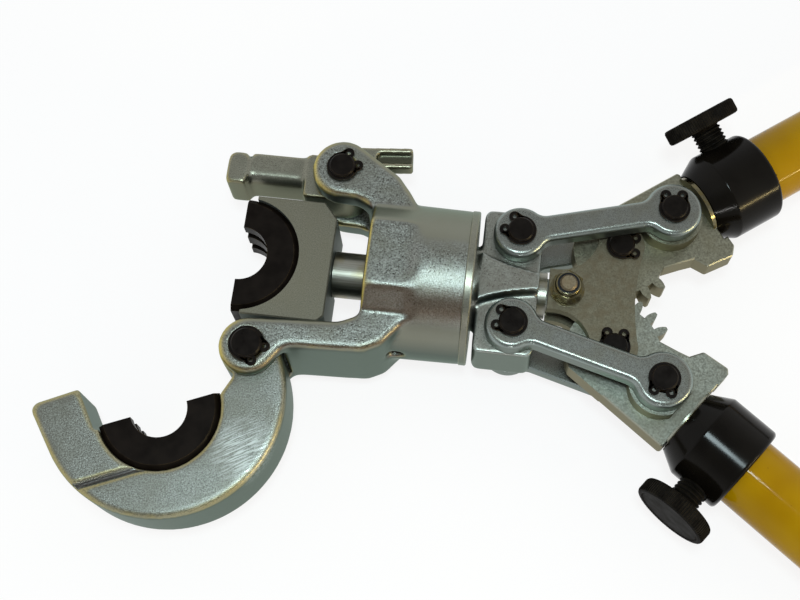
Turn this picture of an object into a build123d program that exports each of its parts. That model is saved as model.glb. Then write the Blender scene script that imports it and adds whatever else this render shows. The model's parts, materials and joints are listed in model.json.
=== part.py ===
import os
from math import acos, atan2, cos, degrees, hypot, pi, radians, sin, sqrt, tan

from build123d import *

# Hand lever pipe crimper: a C jaw swings about a pin on the head, a latch hook holds it shut,
# and two geared handle levers push a ram and a sliding die block towards the jaw.
# The X axis is the ram axis and points to the handles, +Y is the latch side, +Z faces up.
# The origin is the bore centre of the moving die, with the handles spread. Millimetres.

# Clearances
pin_fit = 0.05
slide_fit = 0.1
face_gap = 0.2
open_gap = 0.4
edge_break = 0.8
swivel_gap = 2.4

# Crimping dies
crimp_bore_d = 26.0
die_od = 56.0
die_half_width = 16.5
die_chamfer = 2.4
die_groove_width = 6.0
die_groove_depth = 1.8
die_groove_pitch = 14.0

# Die block
block_front = 4.5
block_wall = 15.5
block_lip = 1.5
block_half_width = 17.0
block_rear_chamfer = 8.0
block_rear_slant = 6.8
block_rear_bevel = 3.0
block_edge = 0.6

# Ram
ram_d = 22.0
ram_neck_d = 15.0
ram_button_length = 7.0
ram_neck_length = 6.5

# Head casting
ram_window = 17.0
window_gap = 0.7
window_corner = 8.0
window_inner_corner = 4.0
window_wall_inset = 4.2
fork_corner = 6.0
fork_bend = 9.0
fork_root = 25.5
knee_reach = 10.0
knee_drop = 1.0
bend_reach = 16.5
bend_drop = 1.0
ankle_reach = 11.5
ankle_rise = 5.0
sole_reach = 3.5
sole_rise = 1.0
boss_root_reach = 3.5
boss_root_drop = 0.5
arm_ledge = 2.0
barrel_length = 49.5
barrel_d = 74.0
barrel_end_d = 72.6
barrel_band = 2.6
barrel_band_depth = 1.2
barrel_front_round = 3.0
arm_half_width = 25.0
arm_edge_radius = 2.8
lower_arm_height = 12.5
flat_height = 33.5
flat_length = 29.5
swivel_neck_d = 40.0
swivel_neck_reach = 42.0
swivel_groove_setback = 33.0
swivel_groove_width = 7.0
swivel_groove_depth = 2.0
swivel_screw_d = 8.0
swivel_screw_recess = 2.0
swivel_socket_r = 2.3
swivel_socket_depth = 4.0
swivel_nose = 0.8

# Swing jaw
jaw_pin_d = 14.0
jaw_boss_r = 13.3
jaw_pin_x = 12.0
jaw_boss_gap = 3.2
jaw_half_width = 17.0
jaw_web = 22.0
jaw_back_shift = 6.2
jaw_face_step = 1.2
jaw_open_angle = 113.0
jaw_tip_x = 16.5
jaw_tip_gap = 3.7
jaw_tip_height = 23.6
jaw_tip_rise = 3.0
jaw_tip_round = 4.0
jaw_tip_lean = 1.0
jaw_heel_angle = -96.0
jaw_web_angle = 135.0
jaw_slot_play = 2.5
jaw_edge_radius = 3.0
jaw_line_x = -27.6
jaw_line_width = 2.8
jaw_line_depth = 0.8
die_end_gap = 0.4

# Latch hook
latch_pin_d = 12.0
latch_pin_setback = 17.3
latch_pin_lift = 0.2
latch_lug_r = 14.3
latch_drop = 3.3
latch_head_length = 10.3
latch_head_half_width = 12.0
latch_head_height = 14.4
latch_head_round = 3.2
latch_bar_height = 14.0
latch_bar_half_width = 8.0
latch_bar_round = 3.5
latch_bar_length = 28.0
latch_hub_half_width = 12.0
latch_hub_r = 11.0
latch_tail_length = 31.0
latch_tail_rise = 15.1
latch_tail_slope = 5.1
latch_tail_width = 10.8
latch_tail_half_width = 4.0
latch_tail_neck = 2.0
latch_tail_root = 3.0
latch_tail_round = 1.35
latch_slot_play = 3.0
latch_groove_length = 18.0
latch_groove_width = 5.4
latch_groove_depth = 2.4
latch_lip = 4.0

# Yoke
yoke_length = 27.8
yoke_half_height = 35.0
yoke_pin_offset = 17.0
yoke_pin_y = 22.2
yoke_ridge_height = 20.0
yoke_ridge_root = 11.8
yoke_ridge_end = 4.3
yoke_ridge_waist = 7.0
yoke_waist_setback = 4.0
yoke_corner = 4.0

# Linkage
link_pin_d = 12.0
link_eye_r = 13.0
yoke_eye_r = 12.3
link_thickness = 9.0
link_edge_radius = 2.5
link_shank_width = 12.5
link_neck_radius = 7.0
link_pin_play = 0.75
link_pin_reach = 26.9
crosshead_gap = 36.8
ear_gap = 0.3
handle_angle = 36.3
closing_angle = 30.0

# Gear levers
gear_module = 2.5
gear_teeth = 20
gear_cut_teeth = 6
gear_pressure_angle = 20.0
gear_backlash = 0.3
gear_foot_sink = 0.6
first_tooth_angle = -74.45
lever_half_width = 6.0
lever_length = 45.5
lever_outer_edge = 19.6
lever_boss_r = 14.5
stop_lug_length = 14.5
stop_lug_depth = 29.0
stop_lug_reach = 2.0
stop_lug_gap = 3.0
stop_lug_slant = 4.0
stop_lug_bevel = 3.5
stop_lug_fall = 1.3
lever_corner = 1.6
lever_waist_length = 5.5
lever_waist_rise = 1.5
lever_throat = (13.0, -18.0)
lever_waist_depth = 21.5
lever_edge = 0.6
ferrule_d = 32.0

# Crosshead
plate_thickness = 5.5
plate_lobe_r = 10.8
plate_front_gap = 4.8
plate_front_half_height = 10.0
plate_flank_reach = 7.5
plate_flank_rise = 5.0
plate_back_reach = 7.9
plate_back_bow = 0.4
plate_back_half_height = 8.0
ram_bolt_setback = 23.6
ram_bolt_d = 8.0
ram_nut_across = 13.0
ram_nut_height = 8.0
ram_nut_collar = 2.4
ram_nut_collar_inset = 0.4
ram_nut_collar_round = 1.2
ram_bolt_head = 5.3
ram_bolt_stand_out = 1.2
ram_washer_d = 16.0
ram_washer_t = 1.6

# Pins and retaining rings
ring_thickness = 1.0
ring_band = 1.6
ring_lug_r = 2.3
ring_lug_spread = 1.84
ring_lug_hole_d = 1.8
ring_gap = 3.6
ring_groove_depth = 0.4
pin_end_length = 1.3
pin_chamfer = 0.6

# Handles
inner_tube_d = 27.0
inner_tube_wall = 2.5
inner_tube_length = 260.0
handle_tube_d = 34.0
handle_tube_length = 330.0
handle_offset = 1.5
handle_slide_gap = 0.3
spigot_length = 30.0
collar_d = 44.0
collar_front_d = 33.0
collar_length = 33.5
collar_taper = 9.5
collar_shoulder = 12.0
collar_edge = 2.0
grip_length = 120.0
grip_wall = 2.8
grip_end = 6.0
grip_end_round = 4.5
grip_lip_round = 1.68
thumb_thread_d = 14.5
thumb_knob_d = 35.8
thumb_knob_thickness = 7.6
thumb_knob_edge = 1.2
thumb_knob_reach = 31.5
thumb_tip_gap = 0.4
upper_thumb_tilt = 18.5
lower_thumb_tilt = 0.0


def at_angle(centre, radius, angle):
    return (centre[0] + radius * cos(radians(angle)), centre[1] + radius * sin(radians(angle)))


def turned(point, centre, angle):
    dx = point[0] - centre[0]
    dy = point[1] - centre[1]
    return at_angle(centre, hypot(dx, dy), degrees(atan2(dy, dx)) + angle)


def touch(point, centre, radius, turn):
    reach = hypot(point[0] - centre[0], point[1] - centre[1])
    bearing = degrees(atan2(point[1] - centre[1], point[0] - centre[0]))
    return at_angle(centre, radius, bearing + turn * degrees(acos(radius / reach)))


def save(part, name):
    part.label = name
    export_step(part, f"parts/{name}.step")


# Places along the ram axis
die_r = die_od / 2
block_rear = die_r + block_wall
window_rear = block_rear + ram_window
barrel_end = window_rear + barrel_length
flat_end = window_rear + flat_length
swivel_groove_x = barrel_end - swivel_groove_setback
yoke_front = barrel_end + swivel_gap
yoke_rear = yoke_front + yoke_length
plate_front_x = yoke_rear + plate_front_gap
crosshead_x = yoke_rear + crosshead_gap
ram_bolt_x = crosshead_x - ram_bolt_setback

# Heights of the layers above the mid plane
ring_zone = face_gap + ring_thickness + pin_end_length
plate_low = lever_half_width + face_gap
plate_high = plate_low + plate_thickness
crosshead_pin_half = plate_high + ring_zone
ear_half_width = crosshead_pin_half + ear_gap
link_low = ear_half_width + face_gap
link_high = link_low + link_thickness
link_pin_half = link_high + ring_zone
head_pin_half = arm_half_width + ring_zone

# Linkage points with the handles spread
gear_r = gear_module * gear_teeth / 2
gear_root_r = gear_r - 1.25 * gear_module
gear_tip_r = gear_r + gear_module
yoke_pin = (yoke_front + yoke_pin_offset, yoke_pin_y)
crosshead_pin = (crosshead_x, gear_r)
link_pin = at_angle(crosshead_pin, link_pin_reach, handle_angle)
link_length = hypot(link_pin[0] - yoke_pin[0], link_pin[1] - yoke_pin[1])


def crosshead_at(angle):
    rise = crosshead_pin[1] + link_pin_reach * sin(radians(angle)) - yoke_pin[1]
    return yoke_pin[0] + sqrt(link_length**2 - rise**2) - link_pin_reach * cos(radians(angle))


# Ram stroke for an even stroke per degree that stays nearest to the linkage
half_stroke = crosshead_x - crosshead_at(handle_angle - closing_angle / 2)
full_stroke = crosshead_x - crosshead_at(handle_angle - closing_angle)
ram_stroke = (half_stroke + full_stroke) / 1.5

# Jaw and latch points
block_half_height = die_r + block_lip
window_half_height = block_half_height + window_gap
closed_die_x = -(ram_stroke + die_end_gap)
jaw_pin = (jaw_pin_x, -(block_half_height + jaw_boss_gap + jaw_boss_r))
jaw_tip_low = block_half_height + jaw_tip_gap
jaw_back_r = die_r + jaw_web + jaw_back_shift
lip_top = jaw_tip_low + latch_lip
latch_head_low = lip_top + open_gap
latch_head_right = closed_die_x - open_gap
latch_head_left = latch_head_right - latch_head_length
latch_bar_low = lip_top + latch_drop
latch_pin_y = latch_head_low + latch_head_height / 2 + latch_pin_lift
latch_pin = (window_rear - latch_pin_setback, latch_pin_y)
latch_shoulder_x = latch_head_right + latch_bar_length
latch_slot_half = latch_hub_half_width + open_gap
latch_slot_floor = latch_pin[1] - latch_hub_r - 2 * open_gap
latch_slot_rear = latch_pin[0] + latch_tail_length + latch_slot_play
jaw_slot_half = latch_head_half_width + open_gap
barrel_r = barrel_d / 2
die_seat_r = die_r + pin_fit
bore_r = crimp_bore_d / 2
neck_front = yoke_front - swivel_neck_reach

print("ram stroke", round(ram_stroke, 3), "true stroke", round(full_stroke, 3))
print("jaw pin", jaw_pin, "latch pin", latch_pin)
print("yoke pin", yoke_pin, "link pin", link_pin, "link length", round(link_length, 3))

os.makedirs("parts", exist_ok=True)

# The jaw is drawn shut, in the head's own coordinates, and its plane carries it to the open pose
jaw_plane = Plane(
    origin=(*turned((0, 0), jaw_pin, jaw_open_angle), 0),
    x_dir=(cos(radians(jaw_open_angle)), sin(radians(jaw_open_angle)), 0),
    z_dir=(0, 0, 1),
)


def pin(centre, diameter, half_length, ring_z):
    radius = diameter / 2
    with BuildPart() as body:
        with BuildSketch():
            with Locations(centre):
                Circle(radius)
        extrude(amount=half_length, both=True)
        chamfer(body.edges().filter_by(GeomType.CIRCLE), pin_chamfer)
        for low in (ring_z, -ring_z - ring_thickness):
            with BuildSketch(Plane.XY.offset(low - face_gap / 2)):
                with Locations(centre):
                    Circle(radius + 1)
                    Circle(radius - ring_groove_depth, mode=Mode.SUBTRACT)
            extrude(amount=ring_thickness + face_gap, mode=Mode.SUBTRACT)
    return body.part


def rings(places):
    with BuildPart() as body:
        for centre, diameter, ring_z, gap_angle in places:
            seat = diameter / 2 - ring_groove_depth + pin_fit
            lug_x = diameter / 2 + ring_lug_r
            lug_y = ring_gap / 2 + ring_lug_spread
            for low in (ring_z, -ring_z - ring_thickness):
                plane = Plane(
                    origin=(*centre, low),
                    x_dir=(cos(radians(gap_angle)), sin(radians(gap_angle)), 0),
                    z_dir=(0, 0, 1),
                )
                with BuildSketch(plane):
                    Circle(diameter / 2 + ring_band)
                    with Locations((lug_x, lug_y), (lug_x, -lug_y)):
                        Circle(ring_lug_r)
                    Circle(seat, mode=Mode.SUBTRACT)
                    with Locations((diameter / 2 + 2 * ring_lug_r, 0)):
                        Rectangle(6 * ring_lug_r, ring_gap, mode=Mode.SUBTRACT)
                    with Locations((lug_x, lug_y), (lug_x, -lug_y)):
                        Circle(ring_lug_hole_d / 2, mode=Mode.SUBTRACT)
                extrude(amount=ring_thickness)
    return body.part


def half_die(plane, opening_side):
    with BuildPart() as body:
        with BuildSketch(plane):
            Circle(die_r)
            Circle(bore_r, mode=Mode.SUBTRACT)
            with Locations((-opening_side * die_r, 0)):
                Rectangle(2 * die_r, 2 * die_r + 2, mode=Mode.SUBTRACT)
        extrude(amount=die_half_width, both=True)
        outer = body.edges().filter_by(GeomType.CIRCLE).filter_by(lambda e: e.radius > bore_r + 1)
        chamfer(outer, die_chamfer)
        for middle in (-die_groove_pitch / 2, die_groove_pitch / 2):
            with BuildSketch(plane.offset(middle - die_groove_width / 2)):
                Circle(bore_r + die_groove_depth)
            extrude(amount=die_groove_width, mode=Mode.SUBTRACT)
    return body.part


# Barrel of the head: slightly tapered, with a sloping flat above and below
with BuildPart() as barrel_blank:
    band_start = barrel_end - barrel_band
    barrel_end_r = barrel_end_d / 2
    with BuildSketch():
        with BuildLine():
            Polyline(
                (window_rear, 0),
                (window_rear, barrel_r),
                (band_start, barrel_end_r),
                (barrel_end, barrel_end_r - barrel_band_depth),
                (barrel_end, 0),
                close=True,
            )
        make_face()
    revolve(axis=Axis.X)
    for side in (1, -1):
        with BuildSketch(Plane.XZ):
            with BuildLine():
                Polyline(
                    (window_rear - 1, side * flat_height),
                    (flat_end, side * barrel_r),
                    (flat_end, side * 2 * barrel_r),
                    (window_rear - 1, side * 2 * barrel_r),
                    close=True,
                )
            make_face()
        extrude(amount=barrel_r, both=True, mode=Mode.SUBTRACT)
    fillet(barrel_blank.faces().sort_by(Axis.X)[0].edges(), barrel_front_round)

# Head casting: barrel, two fork arms, latch lug and jaw boss
with BuildPart() as head_casting:
    arm_low = -window_half_height - arm_ledge
    body_x = window_rear + fork_root
    wall_corner = window_half_height - window_wall_inset
    arm_foot = arm_low - lower_arm_height
    sill = (window_rear - window_corner, window_half_height)
    ledge = (window_rear - window_corner - 1, -window_half_height)
    knee = (window_rear + knee_reach, latch_pin[1] - knee_drop)
    bend = (window_rear + bend_reach, barrel_r - bend_drop)
    ankle = (window_rear + ankle_reach, arm_foot + ankle_rise)
    sole = (window_rear + sole_reach, arm_foot + sole_rise)
    boss_root = (jaw_pin[0] + jaw_boss_r + boss_root_reach, arm_foot - boss_root_drop)
    lug_first = touch(knee, latch_pin, latch_lug_r, 1)
    lug_last = touch(sill, latch_pin, latch_lug_r, -1)
    boss_first = touch(boss_root, jaw_pin, jaw_boss_r, -1)
    boss_last = touch(ledge, jaw_pin, jaw_boss_r, 1)
    with BuildSketch() as fork:
        with BuildLine():
            ThreePointArc(lug_first, at_angle(latch_pin, latch_lug_r, 160), lug_last)
            Polyline(
                lug_last,
                sill,
                (window_rear, wall_corner),
                (window_rear, -wall_corner),
                ledge,
                boss_last,
            )
            ThreePointArc(boss_last, at_angle(jaw_pin, jaw_boss_r, 200), boss_first)
            Polyline(
                boss_first,
                boss_root,
                sole,
                ankle,
                (body_x, -0.6 * barrel_r),
                (body_x, 0.6 * barrel_r),
                bend,
                knee,
                lug_first,
            )
        make_face()
        for corner in (sill, ledge, boss_root, sole, ankle, knee):
            fillet(fork.vertices().sort_by_distance(corner)[0], fork_corner)
        fillet(fork.vertices().sort_by_distance(bend)[0], fork_bend)
        for corner in ((window_rear, wall_corner), (window_rear, -wall_corner)):
            fillet(fork.vertices().sort_by_distance(corner)[0], window_inner_corner)
    extrude(amount=arm_half_width, both=True)
    rim_edges = head_casting.faces().filter_by(Axis.Z).edges()
    fillet(rim_edges, arm_edge_radius)
    add(barrel_blank.part)
    with BuildSketch(Plane.YZ.offset(neck_front - open_gap)):
        Circle(swivel_neck_d / 2 + slide_fit)
    extrude(amount=barrel_end - neck_front + 1, mode=Mode.SUBTRACT)
    with BuildSketch(Plane.YZ.offset(window_rear - 1)):
        Circle(ram_d / 2 + open_gap)
    extrude(amount=barrel_end - window_rear, mode=Mode.SUBTRACT)
    with BuildSketch():
        with Locations((jaw_pin[0] + jaw_boss_r + jaw_slot_play, jaw_pin[1] + 1.5 * jaw_boss_r)):
            Rectangle(2 * window_rear, 4 * jaw_boss_r, align=(Align.MAX, Align.MAX))
    extrude(amount=jaw_half_width + open_gap, both=True, mode=Mode.SUBTRACT)
    with BuildSketch():
        with BuildLine():
            Polyline(
                (-window_rear, latch_slot_floor),
                (latch_pin[0] + latch_hub_r, latch_slot_floor),
                (latch_slot_rear, barrel_r + 2 * open_gap),
                (latch_slot_rear, 2 * latch_pin[1]),
                (-window_rear, 2 * latch_pin[1]),
                close=True,
            )
        make_face()
    extrude(amount=latch_slot_half, both=True, mode=Mode.SUBTRACT)
    with BuildSketch():
        with Locations(jaw_pin):
            Circle(jaw_pin_d / 2 + pin_fit)
        with Locations(latch_pin):
            Circle(latch_pin_d / 2 + pin_fit)
    extrude(amount=2 * arm_half_width, both=True, mode=Mode.SUBTRACT)
    with BuildSketch(Plane.XZ.offset(swivel_neck_d / 2 - 1)):
        with Locations((swivel_groove_x, 0)):
            Circle(swivel_screw_d / 2)
    extrude(amount=barrel_r, mode=Mode.SUBTRACT)
save(head_casting.part, "head_casting")

# Pins and retaining rings on the head
save(pin(jaw_pin, jaw_pin_d, head_pin_half, arm_half_width + face_gap), "jaw_hinge_pin")
save(pin(latch_pin, latch_pin_d, head_pin_half, arm_half_width + face_gap), "latch_pin")
save(
    rings(
        [
            (jaw_pin, jaw_pin_d, arm_half_width + face_gap, -35),
            (latch_pin, latch_pin_d, arm_half_width + face_gap, 40),
        ]
    ),
    "head_retaining_rings",
)

# Swivel stop screw: its nose runs in the groove of the yoke's neck
with BuildPart() as swivel_stop_screw:
    groove_floor = swivel_neck_d / 2 - swivel_groove_depth
    with BuildSketch(Plane.XZ.offset(groove_floor + open_gap)):
        with Locations((swivel_groove_x, 0)):
            Circle(swivel_screw_d / 2 - 2 * slide_fit)
    screw_face = barrel_r - swivel_screw_recess - 2 * open_gap
    extrude(amount=screw_face - groove_floor - open_gap)
    with BuildSketch(Plane.XZ.offset(screw_face - swivel_socket_depth)):
        with Locations((swivel_groove_x, 0)):
            RegularPolygon(swivel_socket_r, 6)
    extrude(amount=swivel_socket_depth, mode=Mode.SUBTRACT)
    nose = swivel_stop_screw.edges().filter_by(GeomType.CIRCLE).sort_by(Axis.Y)[-1]
    chamfer(nose, swivel_nose)
save(swivel_stop_screw.part, "swivel_stop_screw")

# Swing jaw, drawn shut around the closed die centre
with BuildPart() as swing_jaw:
    face_x = closed_die_x - jaw_face_step
    seat_half = sqrt(die_seat_r**2 - jaw_face_step**2)
    back_centre = (closed_die_x + jaw_back_shift, jaw_pin[1] - jaw_boss_r + jaw_back_r)
    tip_high = jaw_tip_low + jaw_tip_height
    tip_corner = (jaw_tip_x - jaw_tip_lean, tip_high)
    heel = at_angle(jaw_pin, jaw_boss_r, jaw_heel_angle)
    web = at_angle(jaw_pin, jaw_boss_r, jaw_web_angle)
    boss_middle = at_angle(jaw_pin, jaw_boss_r, (jaw_heel_angle + jaw_web_angle) / 2)
    back_start = touch(tip_corner, back_centre, jaw_back_r, 1)
    back_end = touch(heel, back_centre, jaw_back_r, -1)
    with BuildSketch(jaw_plane) as jaw_side:
        with BuildLine():
            Polyline(
                (face_x, seat_half),
                (face_x, jaw_tip_low - jaw_tip_rise),
                (jaw_tip_x, jaw_tip_low),
                tip_corner,
                back_start,
            )
            ThreePointArc(back_start, at_angle(back_centre, jaw_back_r, 180), back_end)
            Line(back_end, heel)
            ThreePointArc(heel, boss_middle, web)
            Line(web, (face_x, -seat_half))
            ThreePointArc((face_x, -seat_half), (closed_die_x - die_seat_r, 0), (face_x, seat_half))
        make_face()
    extrude(amount=jaw_half_width, both=True)
    upright = swing_jaw.edges().filter_by(Axis.Z)
    fillet(upright.sort_by_distance(jaw_plane.from_local_coords((*tip_corner, 0)))[0], jaw_tip_round)
    open_die_centre = jaw_plane.from_local_coords((closed_die_x, 0, 0))
    boss_centre = Vector(*jaw_pin, 0)
    outer_edge_reach = (die_r + 3 * (jaw_back_r - jaw_back_shift)) / 4
    for face_index in (0, -1):
        flat_edges = swing_jaw.faces().filter_by(Axis.Z).sort_by(Axis.Z)[face_index].edges()
        outer = flat_edges.filter_by(lambda e: ((e @ 0.5) - open_die_centre).length > outer_edge_reach)
        rounded = outer.filter_by(lambda e: ((e @ 0.5) - boss_centre).length > jaw_half_width + jaw_boss_r)
        fillet(rounded, jaw_edge_radius)
    with BuildSketch(jaw_plane):
        with BuildLine():
            Polyline(
                (latch_head_left - 4 * open_gap, 2 * tip_high),
                (latch_head_left - 4 * open_gap, lip_top - latch_drop + open_gap),
                (latch_head_right + 3 * open_gap, lip_top - latch_drop + open_gap),
                (latch_head_right + 3 * open_gap, lip_top),
                (2 * jaw_tip_x, lip_top),
                (2 * jaw_tip_x, 2 * tip_high),
                close=True,
            )
        make_face()
    extrude(amount=jaw_slot_half, both=True, mode=Mode.SUBTRACT)
    for side in (1, -1):
        with BuildSketch(jaw_plane.offset(side * jaw_half_width)):
            with Locations((jaw_line_x, back_centre[1] + jaw_back_r / 2)):
                Rectangle(jaw_line_width, jaw_back_r)
        extrude(amount=-side * jaw_line_depth, mode=Mode.SUBTRACT)
    with BuildSketch(jaw_plane):
        with Locations(jaw_pin):
            Circle(jaw_pin_d / 2 + pin_fit)
    extrude(amount=2 * jaw_half_width, both=True, mode=Mode.SUBTRACT)
save(swing_jaw.part, "swing_jaw")

jaw_die_plane = Plane(origin=open_die_centre, x_dir=jaw_plane.x_dir)
save(half_die(jaw_die_plane, -1), "jaw_die")

# Latch hook: hammer head, rounded bar, hub on the latch pin and grooved thumb tail
with BuildPart() as latch_hook:
    bar_high = latch_bar_low + latch_bar_height
    tail_plane = Plane(
        origin=(latch_pin[0], latch_pin[1] + latch_tail_rise, 0),
        x_dir=(cos(radians(latch_tail_slope)), sin(radians(latch_tail_slope)), 0),
        z_dir=(0, 0, 1),
    )
    with BuildSketch():
        with Locations(((latch_head_right + latch_pin[0]) / 2, (latch_bar_low + bar_high) / 2)):
            Rectangle(latch_pin[0] - latch_head_right, latch_bar_height)
    extrude(amount=latch_bar_half_width, both=True)
    bar_edges = latch_hook.edges().filter_by(Axis.X).group_by(Axis.Y)
    fillet(bar_edges[0], latch_bar_round)
    fillet(bar_edges[-1], edge_break)
    with BuildSketch():
        with Locations(((latch_head_left + latch_head_right) / 2, latch_head_low + latch_head_height / 2)):
            RectangleRounded(latch_head_length, latch_head_height, latch_head_round)
    extrude(amount=latch_head_half_width, both=True)
    with BuildSketch():
        with Locations(latch_pin):
            Circle(latch_hub_r)
        with Locations(((latch_shoulder_x + latch_pin[0]) / 2, latch_pin[1])):
            Rectangle(latch_pin[0] - latch_shoulder_x, 2 * latch_hub_r)
    extrude(amount=latch_hub_half_width, both=True)
    with BuildSketch() as tail:
        with BuildLine():
            Polyline(
                latch_pin,
                (latch_pin[0] + latch_hub_r - latch_tail_neck, latch_pin[1]),
                tail_plane.from_local_coords((latch_hub_r + latch_tail_root, -latch_tail_width / 2)),
                tail_plane.from_local_coords((latch_tail_length, -latch_tail_width / 2)),
                tail_plane.from_local_coords((latch_tail_length, latch_tail_width / 2)),
                tail_plane.from_local_coords((latch_tail_neck, latch_tail_width / 2)),
                (latch_pin[0] - latch_hub_r + latch_tail_neck, latch_pin[1]),
                close=True,
            )
        make_face()
        tail_end = tail_plane.from_local_coords((latch_tail_length, 0, 0))
        fillet(tail.vertices().sort_by_distance(tail_end)[:2], latch_tail_round)
    extrude(amount=latch_tail_half_width, both=True)
    for side in (1, -1):
        with BuildSketch(tail_plane.offset(side * latch_tail_half_width)):
            with Locations((latch_tail_length, 0)):
                SlotOverall(2 * latch_groove_length, latch_groove_width)
        extrude(amount=-side * latch_groove_depth, mode=Mode.SUBTRACT)
    with BuildSketch():
        with Locations(latch_pin):
            Circle(latch_pin_d / 2 + pin_fit)
    extrude(amount=2 * latch_hub_half_width, both=True, mode=Mode.SUBTRACT)
save(latch_hook.part, "latch_hook")

# Die block: half round seat in front, slot for the ram's button behind
with BuildPart() as die_block:
    button_rear = block_rear - ram_neck_length + open_gap
    with BuildSketch() as block_side:
        with BuildLine():
            Polyline(
                (block_front, -block_half_height),
                (block_rear - block_rear_bevel, -block_half_height),
                (block_rear, -block_half_height + block_rear_bevel),
                (block_rear, block_half_height - block_rear_chamfer),
                (block_rear - block_rear_slant, block_half_height),
                (block_front, block_half_height),
                close=True,
            )
        make_face()
        Circle(die_seat_r, mode=Mode.SUBTRACT)
    extrude(amount=block_half_width, both=True)
    chamfer(die_block.faces().filter_by(Axis.Z).edges().filter_by(GeomType.LINE), block_edge)
    with BuildSketch(Plane.YZ.offset(button_rear - ram_button_length - 2 * open_gap)):
        Circle(ram_d / 2 + slide_fit)
        with Locations((0, -block_half_width)):
            Rectangle(ram_d + 2 * slide_fit, 2 * block_half_width)
    extrude(amount=ram_button_length + 2 * open_gap, mode=Mode.SUBTRACT)
    with BuildSketch(Plane.YZ.offset(button_rear - open_gap)):
        Circle(ram_neck_d / 2 + slide_fit)
        with Locations((0, -block_half_width)):
            Rectangle(ram_neck_d + 2 * slide_fit, 2 * block_half_width)
    extrude(amount=ram_neck_length + 1, mode=Mode.SUBTRACT)
save(die_block.part, "die_block")

save(half_die(Plane.XY, 1), "block_die")

# Ram: button and neck in the block, rod through head and yoke, flat tongue between the plates
with BuildPart() as ram_rod:
    tongue_r = hypot(crosshead_x - ram_bolt_x, gear_r) - gear_tip_r - open_gap
    rod_end = plate_front_x - 2 * open_gap
    stations = [
        (button_rear - ram_button_length - open_gap, ram_button_length, ram_d),
        (button_rear - open_gap, ram_neck_length + 2 * open_gap, ram_neck_d),
        (block_rear + open_gap, rod_end - block_rear - open_gap, ram_d),
    ]
    for start, length, diameter in stations:
        with BuildSketch(Plane.YZ.offset(start)):
            Circle(diameter / 2)
        extrude(amount=length)
    with BuildSketch():
        with Locations((ram_bolt_x, 0)):
            Circle(tongue_r)
        with Locations(((rod_end + ram_bolt_x) / 2, 0)):
            Rectangle(ram_bolt_x - rod_end, 2 * tongue_r)
        with Locations((ram_bolt_x, 0)):
            Circle(ram_bolt_d / 2 + slide_fit, mode=Mode.SUBTRACT)
    extrude(amount=lever_half_width + face_gap, both=True)
save(ram_rod.part, "ram_rod")

# Yoke: turned swivel neck, block with four link seats, tapering ridge on each face
with BuildPart() as swivel_yoke:
    waist_x = yoke_pin[0] - yoke_waist_setback
    with BuildSketch():
        with Locations(((yoke_front + yoke_rear) / 2, 0)):
            RectangleRounded(yoke_length, 2 * yoke_half_height, yoke_corner)
    extrude(amount=ear_half_width, both=True)
    with BuildSketch():
        with BuildLine():
            ThreePointArc(
                (yoke_front, yoke_ridge_root), (waist_x, yoke_ridge_waist), (yoke_rear, yoke_ridge_end)
            )
            Line((yoke_rear, yoke_ridge_end), (yoke_rear, -yoke_ridge_end))
            ThreePointArc(
                (yoke_rear, -yoke_ridge_end), (waist_x, -yoke_ridge_waist), (yoke_front, -yoke_ridge_root)
            )
            Line((yoke_front, -yoke_ridge_root), (yoke_front, yoke_ridge_root))
        make_face()
    extrude(amount=yoke_ridge_height, both=True)
    with BuildSketch(Plane.YZ.offset(neck_front)):
        Circle(swivel_neck_d / 2)
    extrude(amount=swivel_neck_reach)
    with BuildSketch(Plane.YZ.offset(swivel_groove_x - swivel_groove_width / 2 - 1)):
        Circle(swivel_neck_d / 2 + 1)
        Circle(swivel_neck_d / 2 - swivel_groove_depth, mode=Mode.SUBTRACT)
    extrude(amount=swivel_groove_width + 2, mode=Mode.SUBTRACT)
    with BuildSketch(Plane.YZ.offset(neck_front - 1)):
        Circle(ram_d / 2 + slide_fit)
    extrude(amount=yoke_rear - neck_front + 2, mode=Mode.SUBTRACT)
    with BuildSketch():
        with Locations(yoke_pin, (yoke_pin[0], -yoke_pin[1])):
            Circle(link_pin_d / 2 + pin_fit)
    extrude(amount=2 * ear_half_width, both=True, mode=Mode.SUBTRACT)
save(swivel_yoke.part, "swivel_yoke")

ring_height = link_high + face_gap
plate_ring_height = plate_high + face_gap
yoke_ring_places = []
crosshead_ring_places = []

for side, name in ((1, "upper"), (-1, "lower")):
    yoke_centre = (yoke_pin[0], side * yoke_pin[1])
    cross_centre = (crosshead_pin[0], side * crosshead_pin[1])
    link_centre = (link_pin[0], side * link_pin[1])
    save(pin(yoke_centre, link_pin_d, link_pin_half, ring_height), f"{name}_yoke_pin")
    save(pin(cross_centre, link_pin_d, crosshead_pin_half, plate_ring_height), f"{name}_crosshead_pin")
    save(pin(link_centre, link_pin_d, link_pin_half, ring_height), f"{name}_link_pin")
    link_gap = 95 if side > 0 else -95
    save(rings([(link_centre, link_pin_d, ring_height, link_gap)]), f"{name}_link_pin_rings")
    yoke_ring_places.append((yoke_centre, link_pin_d, ring_height, 150 if side > 0 else 168))
    crosshead_ring_places.append((cross_centre, link_pin_d, plate_ring_height, 0 if side > 0 else 90))

save(rings(yoke_ring_places), "yoke_retaining_rings")
save(rings(crosshead_ring_places), "crosshead_retaining_rings")


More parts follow.
